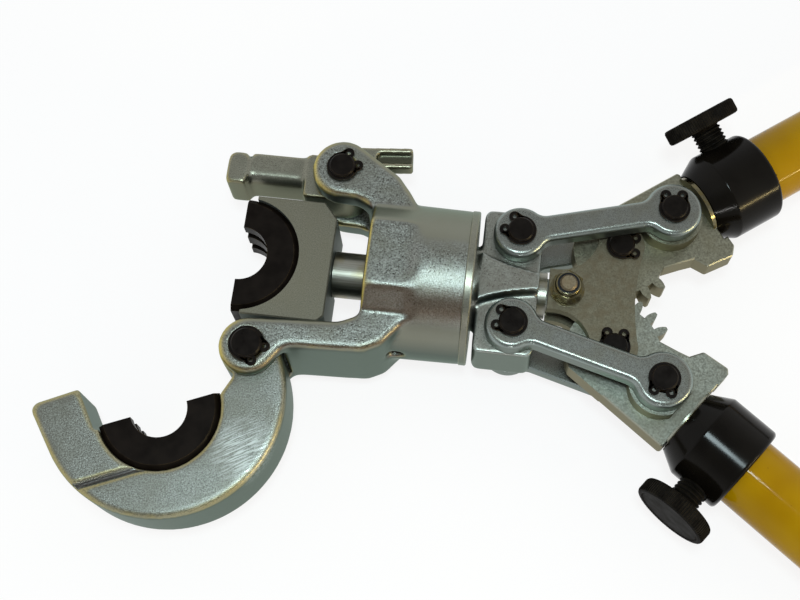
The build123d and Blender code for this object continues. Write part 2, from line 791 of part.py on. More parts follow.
def crosshead_plate(side):
    lobe_start = at_angle(crosshead_pin, plate_lobe_r, 165)
    lobe_top = at_angle(crosshead_pin, plate_lobe_r, 70)
    lobe_end = at_angle(crosshead_pin, plate_lobe_r, -20)
    nose = (plate_front_x, plate_front_half_height)
    flank = (ram_bolt_x + plate_flank_reach, plate_front_half_height + plate_flank_rise)
    shoulder = (crosshead_x + plate_back_reach + plate_back_bow, plate_back_half_height)
    with BuildPart() as body:
        with BuildSketch(Plane.XY.offset(side * plate_low)):
            with BuildLine():
                Line((plate_front_x, 0), nose)
                ThreePointArc(nose, flank, lobe_start)
                ThreePointArc(lobe_start, lobe_top, lobe_end)
                ThreePointArc(lobe_end, shoulder, (crosshead_x + plate_back_reach, 0))
                mirror(about=Plane.XZ)
            make_face()
            with Locations((ram_bolt_x, 0)):
                Circle(ram_bolt_d / 2 + slide_fit, mode=Mode.SUBTRACT)
            with Locations(crosshead_pin, (crosshead_pin[0], -crosshead_pin[1])):
                Circle(link_pin_d / 2 + pin_fit, mode=Mode.SUBTRACT)
        extrude(amount=side * plate_thickness)
    return body.part


save(crosshead_plate(1), "top_crosshead_plate")
save(crosshead_plate(-1), "bottom_crosshead_plate")

# Ram bolt with hexagon head below, washers on both plates and a collared lock nut on top
with BuildPart() as ram_bolt:
    bolt_top = plate_high + ram_washer_t + ram_nut_height + ram_bolt_stand_out
    head_top = -plate_high - ram_washer_t
    with BuildSketch(Plane.XY.offset(head_top)):
        with Locations((ram_bolt_x, 0)):
            RegularPolygon(ram_nut_across / 2, 6, major_radius=False)
    extrude(amount=-ram_bolt_head)
    with BuildSketch(Plane.XY.offset(head_top)):
        with Locations((ram_bolt_x, 0)):
            Circle(ram_bolt_d / 2)
    extrude(amount=bolt_top - head_top)
    chamfer(ram_bolt.edges().filter_by(GeomType.CIRCLE).sort_by(Axis.Z)[-1], edge_break)
save(ram_bolt.part, "ram_bolt")

with BuildPart() as ram_nut:
    nut_low = plate_high + ram_washer_t
    with BuildSketch(Plane.XY.offset(nut_low)):
        with Locations((ram_bolt_x, 0)):
            RegularPolygon(ram_nut_across / 2, 6, major_radius=False)
    extrude(amount=ram_nut_height - ram_nut_collar)
    with BuildSketch(Plane.XY.offset(nut_low + ram_nut_height - ram_nut_collar)):
        with Locations((ram_bolt_x, 0)):
            Circle(ram_nut_across / 2 - ram_nut_collar_inset)
    extrude(amount=ram_nut_collar)
    fillet(ram_nut.edges().filter_by(GeomType.CIRCLE).sort_by(Axis.Z)[-1], ram_nut_collar_round)
    with BuildSketch(Plane.XY.offset(nut_low)):
        with Locations((ram_bolt_x, 0)):
            Circle(ram_bolt_d / 2 + pin_fit)
    extrude(amount=ram_nut_height, mode=Mode.SUBTRACT)
save(ram_nut.part, "ram_nut")

with BuildPart() as ram_washers:
    for low in (plate_high, -plate_high - ram_washer_t):
        with BuildSketch(Plane.XY.offset(low)):
            with Locations((ram_bolt_x, 0)):
                Circle(ram_washer_d / 2)
                Circle(ram_bolt_d / 2 + slide_fit, mode=Mode.SUBTRACT)
        extrude(amount=ram_washer_t)
save(ram_washers.part, "ram_washers")


def link(side, layer):
    y_centre = (yoke_pin[0], side * yoke_pin[1])
    l_centre = (link_pin[0], side * link_pin[1])
    low = link_low if layer > 0 else -link_high
    along = (l_centre[0] - y_centre[0], l_centre[1] - y_centre[1], 0)
    plane = Plane(origin=(*y_centre, low), x_dir=along, z_dir=(0, 0, 1))
    with BuildPart() as body:
        with BuildSketch(plane) as outline:
            Circle(yoke_eye_r)
            with Locations((link_length, 0)):
                Circle(link_eye_r)
            with Locations((link_length / 2, 0)):
                Rectangle(link_length, link_shank_width)
            necks = outline.vertices().filter_by(lambda v: abs(v.Y) > link_shank_width / 2 - 0.01)
            fillet(necks, link_neck_radius)
        extrude(amount=link_thickness)
        flats = body.faces().filter_by(Axis.Z).sort_by(lambda face: layer * face.center().Z)
        fillet(flats[-1].edges(), link_edge_radius)
        chamfer(flats[0].edges(), edge_break)
        with BuildSketch(plane):
            Circle(link_pin_d / 2 + pin_fit)
            with Locations((link_length, 0)):
                Circle(link_pin_d / 2 + link_pin_play)
        extrude(amount=link_thickness, mode=Mode.SUBTRACT)
    return body.part


for side, name in ((1, "upper"), (-1, "lower")):
    save(link(side, 1), f"{name}_top_link")
    save(link(side, -1), f"{name}_bottom_link")


def lever_plane(side):
    return Plane(
        origin=(crosshead_pin[0], side * crosshead_pin[1], 0),
        x_dir=(cos(radians(handle_angle)), side * sin(radians(handle_angle)), 0),
        z_dir=(0, 0, side),
    )


def handle_plane(side):
    base = lever_plane(side)
    return Plane(origin=base.from_local_coords((0, handle_offset, 0)), x_dir=base.x_dir, z_dir=base.z_dir)


def across_handle(side, distance):
    base = handle_plane(side)
    return Plane(origin=base.origin, x_dir=base.y_dir, z_dir=base.x_dir).offset(distance)


def involute_half_angle(radius):
    base_r = gear_r * cos(radians(gear_pressure_angle))
    pitch_half = (pi * gear_module / 2 - gear_backlash) / (2 * gear_r)
    at_pitch = tan(radians(gear_pressure_angle)) - radians(gear_pressure_angle)
    pressure = acos(min(1.0, base_r / radius))
    return degrees(pitch_half + at_pitch - (tan(pressure) - pressure))


def gear_lever(side, tooth_shift):
    plane = lever_plane(side)
    base_r = gear_r * cos(radians(gear_pressure_angle))
    middle_r = (base_r + gear_tip_r) / 2
    foot_r = gear_root_r - gear_foot_sink
    lug_start = lever_length - stop_lug_length
    lug_end = lever_length + stop_lug_reach
    lug_root = collar_front_d / 2 + stop_lug_gap
    waist_x = lug_start - stop_lug_bevel
    with BuildPart() as body:
        with BuildSketch(plane) as outline:
            with BuildLine():
                Polyline(
                    (0, lever_outer_edge),
                    (lever_length, lever_outer_edge),
                    (lever_length, -lug_root),
                    (lug_end, -lug_root),
                    (lug_end, stop_lug_slant - stop_lug_depth),
                    (lug_end - stop_lug_bevel, -stop_lug_depth),
                    (lug_start, stop_lug_fall - stop_lug_depth),
                    (waist_x, -lever_waist_depth),
                    (waist_x - lever_waist_length, lever_waist_rise - lever_waist_depth),
                    lever_throat,
                    (0, 0),
                    close=True,
                )
            make_face()
            ends = outline.vertices().filter_by(lambda v: v.X > waist_x - lever_corner)
            rounded = ends.filter_by(lambda v: abs(v.Y + lug_root) > stop_lug_reach)
            fillet(rounded, lever_corner)
        extrude(amount=lever_half_width, both=True)
        chamfer(body.faces().filter_by(Axis.Z).edges(), lever_edge)
        with BuildSketch(plane):
            Circle(gear_root_r)
            for index in range(gear_cut_teeth):
                turn = first_tooth_angle + tooth_shift - index * 360 / gear_teeth
                flank = []
                for sign in (1, -1):
                    foot_angle = turn + sign * involute_half_angle(base_r)
                    flank.append(at_angle((0, 0), foot_r, foot_angle))
                    flank.append(at_angle((0, 0), base_r, foot_angle))
                    flank.append(at_angle((0, 0), middle_r, turn + sign * involute_half_angle(middle_r)))
                    flank.append(at_angle((0, 0), gear_tip_r, turn + sign * involute_half_angle(gear_tip_r)))
                with BuildLine():
                    Line(flank[0], flank[1])
                    ThreePointArc(flank[1], flank[2], flank[3])
                    ThreePointArc(flank[3], at_angle((0, 0), gear_tip_r, turn), flank[7])
                    ThreePointArc(flank[7], flank[6], flank[5])
                    Line(flank[5], flank[4])
                    Line(flank[4], flank[0])
                make_face()
        extrude(amount=lever_half_width, both=True)
        with BuildSketch(plane):
            with Locations((link_pin_reach, 0)):
                Circle(lever_boss_r)
        extrude(amount=ear_half_width, both=True)
        ferrule_start = link_pin_reach + link_eye_r + open_gap
        with BuildSketch(across_handle(side, ferrule_start)):
            Circle(ferrule_d / 2)
        extrude(amount=lever_length - ferrule_start)
        with BuildSketch(across_handle(side, lever_length)):
            Circle(inner_tube_d / 2 - inner_tube_wall - pin_fit)
        extrude(amount=spigot_length)
        with BuildSketch(plane):
            with Locations((0, 0), (link_pin_reach, 0)):
                Circle(link_pin_d / 2 + pin_fit)
        extrude(amount=2 * ear_half_width, both=True, mode=Mode.SUBTRACT)
    return body.part


save(gear_lever(1, 0), "upper_gear_lever")
save(gear_lever(-1, 180 / gear_teeth), "lower_gear_lever")

tube_bore = inner_tube_d / 2 + handle_slide_gap
collar_start = lever_length + open_gap
screw_u = collar_start + (collar_taper + collar_length) / 2
tube_start = collar_start + collar_shoulder
tube_end = tube_start + handle_tube_length


for side, name, tilt in ((1, "upper", upper_thumb_tilt), (-1, "lower", lower_thumb_tilt)):
    plane = handle_plane(side)
    screw_axis = plane.y_dir * cos(radians(tilt)) + Vector(0, 0, 1) * sin(radians(tilt))
    outward = Plane(origin=plane.from_local_coords((screw_u, 0, 0)), x_dir=plane.x_dir, z_dir=screw_axis)
    axis = Axis(plane.origin, plane.x_dir)
    inner_r = inner_tube_d / 2

    with BuildPart() as inner_tube:
        with BuildSketch(across_handle(side, lever_length)):
            Circle(inner_r)
            Circle(inner_r - inner_tube_wall, mode=Mode.SUBTRACT)
        extrude(amount=inner_tube_length)
    save(inner_tube.part, f"{name}_inner_tube")

    with BuildPart() as handle_tube:
        with BuildSketch(plane):
            with BuildLine():
                Polyline(
                    (tube_start, tube_bore),
                    (tube_start, handle_tube_d / 2),
                    (tube_end, handle_tube_d / 2),
                    (tube_end, tube_bore),
                    close=True,
                )
            make_face()
        revolve(axis=axis)
        with BuildSketch(outward):
            Circle(thumb_thread_d / 2 + slide_fit)
        extrude(amount=handle_tube_d, mode=Mode.SUBTRACT)
    save(handle_tube.part, f"{name}_handle_tube")

    with BuildPart() as collar:
        collar_end = collar_start + collar_length
        with BuildSketch(plane) as collar_section:
            with BuildLine():
                Polyline(
                    (collar_start, tube_bore),
                    (collar_start, collar_front_d / 2),
                    (collar_start + collar_taper, collar_d / 2),
                    (collar_end, collar_d / 2),
                    (collar_end, handle_tube_d / 2 + pin_fit),
                    (tube_start - pin_fit, handle_tube_d / 2 + pin_fit),
                    (tube_start - pin_fit, tube_bore),
                    close=True,
                )
            make_face()
            for corner in (collar_start + collar_taper, collar_end):
                rim = collar_section.vertices().sort_by_distance((corner, collar_d / 2))[0]
                fillet(rim, collar_edge)
        revolve(axis=axis)
        with BuildSketch(outward):
            Circle(thumb_thread_d / 2 + slide_fit)
        extrude(amount=collar_d, mode=Mode.SUBTRACT)
    save(collar.part, f"{name}_collar")

    with BuildPart() as grip:
        grip_start = tube_end - grip_length
        grip_r = handle_tube_d / 2 + grip_wall
        with BuildSketch(plane) as grip_section:
            with BuildLine():
                Polyline(
                    (grip_start, handle_tube_d / 2 + pin_fit),
                    (grip_start, grip_r),
                    (tube_end + grip_end, grip_r),
                    (tube_end + grip_end, 0),
                    (tube_end + pin_fit, 0),
                    (tube_end + pin_fit, handle_tube_d / 2 + pin_fit),
                    close=True,
                )
            make_face()
            corner = grip_section.vertices().sort_by_distance((tube_end + grip_end, grip_r))[0]
            fillet(corner, grip_end_round)
            lip = grip_section.vertices().sort_by_distance((grip_start, grip_r))[0]
            fillet(lip, grip_lip_round)
        revolve(axis=axis)
    save(grip.part, f"{name}_grip")

    with BuildPart() as thumbscrew:
        with BuildSketch(outward.offset(inner_r + thumb_tip_gap)):
            Circle(thumb_thread_d / 2 - slide_fit)
        extrude(amount=thumb_knob_reach - inner_r - thumb_tip_gap)
        with BuildSketch(outward.offset(thumb_knob_reach)):
            Circle(thumb_knob_d / 2)
        extrude(amount=thumb_knob_thickness)
        knob_edges = thumbscrew.edges().filter_by(GeomType.CIRCLE)
        fillet(knob_edges.filter_by(lambda e: e.radius > thumb_thread_d), thumb_knob_edge)
    save(thumbscrew.part, f"{name}_thumbscrew")
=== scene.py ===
import json
import math

import bmesh
import bpy
from mathutils import Matrix, Vector

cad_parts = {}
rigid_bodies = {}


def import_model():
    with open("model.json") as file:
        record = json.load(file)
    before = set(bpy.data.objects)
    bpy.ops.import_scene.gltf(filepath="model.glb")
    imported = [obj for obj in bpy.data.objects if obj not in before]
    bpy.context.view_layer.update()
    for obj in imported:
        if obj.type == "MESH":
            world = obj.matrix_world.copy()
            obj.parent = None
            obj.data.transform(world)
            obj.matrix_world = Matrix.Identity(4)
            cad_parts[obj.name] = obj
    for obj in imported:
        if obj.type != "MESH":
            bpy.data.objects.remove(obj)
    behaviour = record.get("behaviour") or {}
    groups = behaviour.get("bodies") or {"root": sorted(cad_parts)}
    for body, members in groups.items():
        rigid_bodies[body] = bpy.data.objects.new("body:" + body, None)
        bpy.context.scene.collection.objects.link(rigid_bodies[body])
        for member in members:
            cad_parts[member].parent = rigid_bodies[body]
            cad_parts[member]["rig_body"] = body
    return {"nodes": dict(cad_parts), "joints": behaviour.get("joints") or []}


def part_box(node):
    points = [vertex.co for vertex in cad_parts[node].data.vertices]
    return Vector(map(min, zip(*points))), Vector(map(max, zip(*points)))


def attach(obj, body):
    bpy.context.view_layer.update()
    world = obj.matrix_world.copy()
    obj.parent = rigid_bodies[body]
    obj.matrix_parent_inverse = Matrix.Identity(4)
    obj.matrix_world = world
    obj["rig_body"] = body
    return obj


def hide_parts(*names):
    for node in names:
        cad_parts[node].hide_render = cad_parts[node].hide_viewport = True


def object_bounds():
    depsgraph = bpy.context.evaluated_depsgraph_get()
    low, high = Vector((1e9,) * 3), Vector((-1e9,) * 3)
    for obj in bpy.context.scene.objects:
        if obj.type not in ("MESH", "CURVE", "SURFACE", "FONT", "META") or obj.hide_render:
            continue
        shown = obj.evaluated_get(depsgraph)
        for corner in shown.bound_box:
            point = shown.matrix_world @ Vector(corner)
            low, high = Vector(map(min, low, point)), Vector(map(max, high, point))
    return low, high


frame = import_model()
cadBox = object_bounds()
nodes = frame["nodes"]
joints = {joint["name"]: joint for joint in frame["joints"]}
mm = 0.001
sides = ("upper", "lower")
handleAlong = joints["upper_handle_slide"]["axis"]
handleTurn = math.atan2(handleAlong[1], handleAlong[0])  # the lower handle mirrors it
print("frame loaded:", len(nodes), "nodes")


# Node helpers

noiseMean = 0.5
noiseMiddle = (0.35, 0.65)  # most of a noise lies in this range
noiseWhole = (0.3, 0.7)  # and nearly all of it in this one
edgeBend = (0.02, 0.2)  # how far the normal bends where an edge starts and where it is full


def startMaterial(name):
    material = bpy.data.materials.new(name)
    material.use_nodes = True
    return material, material.node_tree, material.node_tree.nodes["Principled BSDF"]


def addNode(tree, kind, inputs=None, **settings):
    node = tree.nodes.new(kind)
    for key, value in settings.items():
        setattr(node, key, value)
    for socket, value in (inputs or {}).items():
        if isinstance(value, bpy.types.NodeSocket):
            tree.links.new(value, node.inputs[socket])
        else:
            node.inputs[socket].default_value = value
    return node


def objectPlace(tree):
    return addNode(tree, "ShaderNodeTexCoord").outputs["Object"]


def placed(tree, turn=0.0, stretch=(1, 1, 1)):
    turned = addNode(tree, "ShaderNodeMapping", {"Vector": objectPlace(tree), "Rotation": (0, 0, -turn)})
    return addNode(tree, "ShaderNodeMapping", {"Vector": turned.outputs[0], "Scale": stretch}).outputs[0]


def speckle(tree, size, detail=2.0, rough=0.5, turn=0.0, stretch=(1, 1, 1)):
    place = placed(tree, turn, stretch)
    inputs = {"Vector": place, "Scale": 1 / size, "Detail": detail, "Roughness": rough}
    return addNode(tree, "ShaderNodeTexNoise", inputs).outputs[0]


def span(tree, value, low, high, start=0.0, end=1.0):
    inputs = {0: value, 1: low, 2: high, 3: start, 4: end}
    return addNode(tree, "ShaderNodeMapRange", inputs).outputs[0]


def calc(tree, operation, first, second=0.0):
    return addNode(tree, "ShaderNodeMath", {0: first, 1: second}, operation=operation).outputs[0]


def times(tree, first, second):
    return calc(tree, "MULTIPLY", first, second)


def dotProduct(tree, first, second):
    node = addNode(tree, "ShaderNodeVectorMath", {0: first, 1: second}, operation="DOT_PRODUCT")
    return node.outputs["Value"]


def mixed(tree, amount, first, second):
    inputs = {0: amount}
    for socket, colour in ((6, first), (7, second)):
        inputs[socket] = colour if isinstance(colour, bpy.types.NodeSocket) else (*colour, 1)
    return addNode(tree, "ShaderNodeMix", inputs, data_type="RGBA").outputs[2]


def leaning(tree, side):  # how far a face looks to one side, from -1 to 1
    return dotProduct(tree, addNode(tree, "ShaderNodeTexCoord").outputs["Normal"], side)


def upright(tree):  # 1 on faces that look straight up or down, 0 on walls
    return calc(tree, "ABSOLUTE", leaning(tree, (0, 0, 1)))


def marked(tree, name):  # a value painted on the mesh
    return addNode(tree, "ShaderNodeAttribute", attribute_name=name).outputs["Fac"]


def edgeMask(tree, radius):  # 1 close to an edge, 0 on open faces
    rounded = addNode(tree, "ShaderNodeBevel", {"Radius": radius}, samples=4).outputs[0]
    flat = addNode(tree, "ShaderNodeNewGeometry").outputs["Normal"]
    return span(tree, calc(tree, "SUBTRACT", 1.0, dotProduct(tree, rounded, flat)), *edgeBend)


def bump(tree, height, strength, depth, under=None):
    inputs = {"Strength": strength, "Distance": depth, "Height": height}
    if under is not None:
        inputs["Normal"] = under
    return addNode(tree, "ShaderNodeBump", inputs).outputs[0]


# Finishes

platingRanges = {  # where each effect starts and where it is full
    "grainFacing": (0.25, 0.8), "smoothLean": ((0.10, 0.30), (-0.66, -0.82)), "fleck": (-0.16, 0.16),
    "fleckGloss": (-0.2, 0.2), "stain": (0.42, 0.66), "underStart": (-0.32, -0.52),
    "underEnd": (-0.64, -0.78), "wall": (0.15, 0.45), "rimPatch": (0.3, 0.6), "rimLean": (0.0, 0.5),
    "rimGrain": (0.3, 0.55), "slopeStart": (0.2, 0.5), "slopeEnd": (0.96, 0.75),
}


def scuffed(tree, colour, scuff):  # bright scratches where the plating was rubbed
    inputs = {0: objectPlace(tree), 1: scuff["place"]}
    apart = addNode(tree, "ShaderNodeVectorMath", inputs, operation="DISTANCE").outputs["Value"]
    near = span(tree, apart, scuff["core"] * scuff["reach"], scuff["reach"], scuff["amount"], 0.0)
    scratch = speckle(tree, scuff["lineSize"], turn=scuff["turn"], stretch=scuff["lineStretch"])
    return mixed(tree, times(tree, near, span(tree, scratch, *scuff["scratch"])), colour, scuff["light"])


def platedFinish(name, look):
    material, tree, shader = startMaterial(name)
    ranges = platingRanges
    grain = speckle(tree, look["grainSize"], detail=3.0, rough=0.6)
    patch = speckle(tree, look["patchSize"], detail=3.0, rough=0.55)
    facing = upright(tree)
    grainy = span(tree, facing, *ranges["grainFacing"], look["wallGrain"], 1.0)
    if "smooth" in look:  # the mould left the sides of a casting smoother
        lean = leaning(tree, (0, 1, 0))
        for leans in ranges["smoothLean"]:
            grainy = times(tree, grainy, span(tree, lean, *leans, 1.0, look["wallGrain"]))
    fleck = times(tree, calc(tree, "SUBTRACT", grain, noiseMean), grainy)
    colour = mixed(tree, span(tree, fleck, *ranges["fleck"]), look["dark"], look["light"])
    stained = span(tree, patch, *ranges["stain"], 0.0, look["stainAmount"])
    colour = mixed(tree, stained, colour, look["stain"])
    if "smooth" in look:
        smoothed = span(tree, grainy, look["smoothFrom"], look["wallGrain"], 0.0, look["smoothAmount"])
        colour = mixed(tree, smoothed, colour, look["smooth"])
        # painted shade: slopes that lean toward -y get a dark brown, standing in for the dark surroundings
        # they reflect
        underShadeFade = span(tree, lean, *ranges["underEnd"], 1.0, 0.0)
        underShadeMask = times(tree, span(tree, lean, *ranges["underStart"]), underShadeFade)
        colour = mixed(tree, times(tree, underShadeMask, look["underAmount"]), colour, look["under"])
    # painted shade on walls: faces that turn into walls take the wall colour, darker than the tops on most
    # finishes and lighter on the flat plates
    wallShaded = span(tree, facing, *ranges["wall"], look["wallAmount"], 0.0)
    colour = mixed(tree, wallShaded, colour, look["wall"])
    if "scuff" in look:
        colour = scuffed(tree, colour, look["scuff"])
    share = span(tree, patch, *ranges["rimPatch"], look["rimBare"] * look["rimAmount"], look["rimAmount"])
    if look["edges"] == "cast":  # gold on the rounded edges is tarnish with a painted glint, stronger on edges facing one side; the hollows get painted shade
        # painted shade in hollows and creases
        edge = marked(tree, "edge")
        hollow = times(tree, marked(tree, "hollow"), look["hollowAmount"])
        colour = mixed(tree, hollow, colour, look["hollow"])
        glintAside = span(tree, leaning(tree, look["rimSide"]), *ranges["rimLean"], look["rimLeast"], 1.0)
        flecked = span(tree, grain, *ranges["rimGrain"], look["rimGrainLeast"], 1.0)
        share = times(tree, times(tree, share, glintAside), flecked)
    # on sharp edges the rim colour is a thin painted highlight line
    elif look["edges"] == "sharp":
        edge = edgeMask(tree, look["rimWidth"])
    else:  # the rounding between a face and its wall
        slope = span(tree, facing, *ranges["slopeStart"])
        edge = times(tree, slope, span(tree, facing, *ranges["slopeEnd"]))
    # the rim colour: a painted highlight along edges in the plating's tint, over real gold tarnish on the
    # castings
    colour = mixed(tree, times(tree, edge, share), colour, look["rim"])
    tree.links.new(colour, shader.inputs["Base Color"])
    shader.inputs["Metallic"].default_value = look["metallic"]
    shader.inputs["Specular Tint"].default_value = (*look["edgeTint"], 1)
    tree.links.new(span(tree, fleck, *ranges["fleckGloss"], *look["roughness"]), shader.inputs["Roughness"])
    wave = bump(tree, speckle(tree, look["waveSize"]), look["wave"], look["waveDepth"])
    tree.links.new(bump(tree, fleck, look["bump"], look["bumpDepth"], wave), shader.inputs["Normal"])
    return material


castPlate = {  # what the plated finishes start from
    "light": (0.318, 0.340, 0.312), "dark": (0.100, 0.103, 0.090), "stain": (0.172, 0.174, 0.138),
    # painted light in these looks: wall is painted wall shade, rim is gold tarnish with a painted edge
    # glint, hollow is painted shade in hollows
    "stainAmount": 0.55, "wall": (0.100, 0.116, 0.104), "wallAmount": 0.9, "wallGrain": 0.10,
    "edges": "cast", "rim": (0.560, 0.450, 0.110), "rimAmount": 1.0, "rimBare": 0.4, "rimGrainLeast": 0.45,
    "rimSide": (-0.8, -0.15, 0.0), "rimLeast": 0.12, "hollow": (0.100, 0.086, 0.058), "hollowAmount": 0.6,
    "grainSize": 0.75 * mm, "patchSize": 14 * mm, "metallic": 0.92, "roughness": (0.26, 0.42),
    "bump": 0.9, "bumpDepth": 0.16 * mm, "wave": 0.16, "waveDepth": 0.3 * mm, "waveSize": 9 * mm,
    "edgeTint": (0.60, 0.70, 0.64),
}
castHead = {
    **castPlate, "smooth": (0.200, 0.204, 0.160), "smoothFrom": 0.5, "smoothAmount": 0.8,
    # under: painted dark reflection, tinted brown, on slopes leaning toward -y
    "under": (0.120, 0.080, 0.052), "underAmount": 0.72,
}
castJaw = {
    **castPlate, "light": (0.325, 0.348, 0.320), "dark": (0.120, 0.127, 0.110),
    "stain": (0.165, 0.167, 0.137), "rimSide": (-0.3, 0.0, 0.0), "rimLeast": 0.4, "rimAmount": 0.9,
    "grainSize": 0.65 * mm, "patchSize": 20 * mm, "bump": 0.7, "roughness": (0.30, 0.46),
    "hollow": (0.055, 0.047, 0.047), "hollowAmount": 0.8,
    "scuff": {"place": (16.4 * mm, -92.7 * mm, 17 * mm), "reach": 17 * mm, "core": 0.35, "amount": 0.75,
              "turn": 0.546, "lineSize": 1.0 * mm, "lineStretch": (0.12, 1.6, 1.0), "scratch": (0.44, 0.60),
              "light": (0.560, 0.600, 0.580)},
}
castLatch = {
    **castPlate, "light": (0.285, 0.285, 0.232), "dark": (0.160, 0.158, 0.122), "grainSize": 0.5 * mm,
    "bump": 0.3, "wallGrain": 0.4, "wall": (0.165, 0.155, 0.105), "rimAmount": 0.5, "rimLeast": 0.3,
    "hollow": (0.045, 0.048, 0.028), "hollowAmount": 0.85,
}
forgedYoke = {
    **castPlate, "light": (0.278, 0.282, 0.250), "dark": (0.172, 0.172, 0.149),
    "stain": (0.165, 0.155, 0.130), "wall": (0.150, 0.160, 0.146), "rim": (0.360, 0.420, 0.400),
    "rimSide": (0, 0, 0), "rimLeast": 0.7, "hollow": (0.070, 0.100, 0.098), "hollowAmount": 0.8,
    "grainSize": 0.7 * mm, "patchSize": 12 * mm, "bump": 0.32,
}
turnedBand = {
    **castPlate, "light": (0.235, 0.235, 0.192), "dark": (0.180, 0.180, 0.146), "edges": "sharp",
    "rim": (0.520, 0.470, 0.240), "rimWidth": 0.4 * mm, "bump": 0.1, "wave": 0.03, "wallAmount": 0.3,
}
pressedLink = {
    **castPlate, "light": (0.216, 0.227, 0.208), "dark": (0.156, 0.164, 0.149),
    "stain": (0.165, 0.165, 0.133), "edges": "slope", "rim": (0.320, 0.400, 0.390), "rimAmount": 0.6,
    "wall": (0.160, 0.182, 0.168), "edgeTint": (0.66, 0.71, 0.67), "grainSize": 0.5 * mm,
    "patchSize": 9 * mm, "roughness": (0.24, 0.36), "bump": 0.16, "wave": 0.1,
}
flatPlate = {
    **pressedLink, "light": (0.172, 0.158, 0.112), "dark": (0.120, 0.108, 0.074),
    "stain": (0.125, 0.100, 0.062), "grainSize": 0.6 * mm, "patchSize": 4 * mm, "bump": 0.2,
    "rim": (0.260, 0.240, 0.150), "wall": (0.200, 0.175, 0.100), "roughness": (0.34, 0.5),
}
forgedLever = {
    **pressedLink, "light": (0.278, 0.272, 0.207), "dark": (0.158, 0.155, 0.115),
    "stain": (0.178, 0.166, 0.110), "grainSize": 0.8 * mm, "patchSize": 15 * mm, "bump": 0.3,
    "rim": (0.400, 0.410, 0.330), "wall": (0.185, 0.172, 0.120), "roughness": (0.28, 0.44),
    "edgeTint": (0.68, 0.66, 0.56),
}
silverLever = {
    **forgedLever, "light": (0.312, 0.332, 0.286), "dark": (0.178, 0.190, 0.160),
    "stain": (0.186, 0.182, 0.138),
}
dieCarrier = {
    **pressedLink, "light": (0.200, 0.190, 0.146), "dark": (0.112, 0.105, 0.077),
    "stain": (0.150, 0.140, 0.100), "stainAmount": 0.4, "bump": 0.3, "roughness": (0.42, 0.58),
    "metallic": 0.7, "rim": (0.200, 0.190, 0.150),
}


def blackFinish(name, look):
    material, tree, shader = startMaterial(name)
    cloud = speckle(tree, look["cloudSize"], detail=3.0, rough=0.55)
    colour = mixed(tree, span(tree, cloud, *noiseMiddle), look["dark"], look["light"])
    # the colour on edges: part real wear, part painted glint
    wearGlintMask = times(tree, edgeMask(tree, look["wearWidth"]), span(tree, cloud, *look["wearCloud"]))
    colour = mixed(tree, times(tree, wearGlintMask, look["wearAmount"]), colour, look["wear"])
    tree.links.new(colour, shader.inputs["Base Color"])
    tree.links.new(span(tree, cloud, *noiseWhole, *look["roughness"]), shader.inputs["Roughness"])
    shader.inputs["Specular IOR Level"].default_value = look["gloss"]
    lines = speckle(tree, look["lineSize"], turn=look["turn"], stretch=look["lineStretch"])
    tree.links.new(bump(tree, lines, look["bump"], look["bumpDepth"]), shader.inputs["Normal"])
    return material


phosphateDie = {
    "dark": (0.0036, 0.0022, 0.0014), "light": (0.0070, 0.0046, 0.0032), "cloudSize": 7 * mm,
    # wear: edge wear with a painted glint
    "wear": (0.080, 0.052, 0.018), "wearWidth": 0.5 * mm, "wearAmount": 0.8, "wearCloud": (0.35, 0.6),
    "roughness": (0.34, 0.50), "gloss": 0.07, "lineSize": 0.8 * mm, "turn": 0.0, "lineStretch": (1, 1, 1),
    "bump": 0.12, "bumpDepth": 0.05 * mm,
}
oxidePin = {
    **phosphateDie, "dark": (0.0034, 0.0024, 0.0018), "light": (0.0062, 0.0045, 0.0034), "cloudSize": 4 * mm,
    "wear": (0.090, 0.055, 0.020), "wearWidth": 0.35 * mm, "roughness": (0.26, 0.40), "gloss": 0.09,
}
turnedCollar = {
    **phosphateDie, "dark": (0.0030, 0.0023, 0.0016), "light": (0.0052, 0.0042, 0.0030),
    "cloudSize": 16 * mm, "wear": (0.030, 0.022, 0.012), "roughness": (0.13, 0.19), "gloss": 0.10,
    "lineSize": 1.0 * mm, "lineStretch": (3.0, 0.04, 0.04), "bump": 0.06,
}
knurledKnob = {
    **phosphateDie, "dark": (0.0050, 0.0042, 0.0034), "light": (0.0100, 0.0088, 0.0075), "cloudSize": 5 * mm,
    "roughness": (0.40, 0.56), "gloss": 0.018, "wear": (0.050, 0.036, 0.016), "wearWidth": 0.3 * mm,
}
rubberGrip = {
    **phosphateDie, "dark": (0.0090, 0.0090, 0.0090), "light": (0.0140, 0.0140, 0.0140), "cloudSize": 9 * mm,
    "wearAmount": 0.0, "roughness": (0.55, 0.72), "gloss": 0.3, "lineSize": 0.7 * mm, "bump": 0.3,
}
nylonInsert = {
    **phosphateDie, "dark": (0.006, 0.007, 0.009), "light": (0.010, 0.012, 0.016), "wearAmount": 0.0,
    "gloss": 0.2,
}


def paintFinish(name, look):
    material, tree, shader = startMaterial(name)
    drift = speckle(tree, look["driftSize"])
    speck = speckle(tree, look["speckSize"], detail=1.0)
    colour = mixed(tree, span(tree, drift, *noiseMiddle), look["deep"], look["bright"])
    specked = span(tree, speck, *look["speckNoise"], 0.0, look["speckAmount"])
    tree.links.new(mixed(tree, specked, colour, look["speck"]), shader.inputs["Base Color"])
    tree.links.new(span(tree, drift, *noiseWhole, *look["roughness"]), shader.inputs["Roughness"])
    shader.inputs["Specular IOR Level"].default_value = look["gloss"]
    peel = speckle(tree, look["peelSize"], detail=1.0)
    tree.links.new(bump(tree, peel, look["peel"], look["peelDepth"]), shader.inputs["Normal"])
    return material


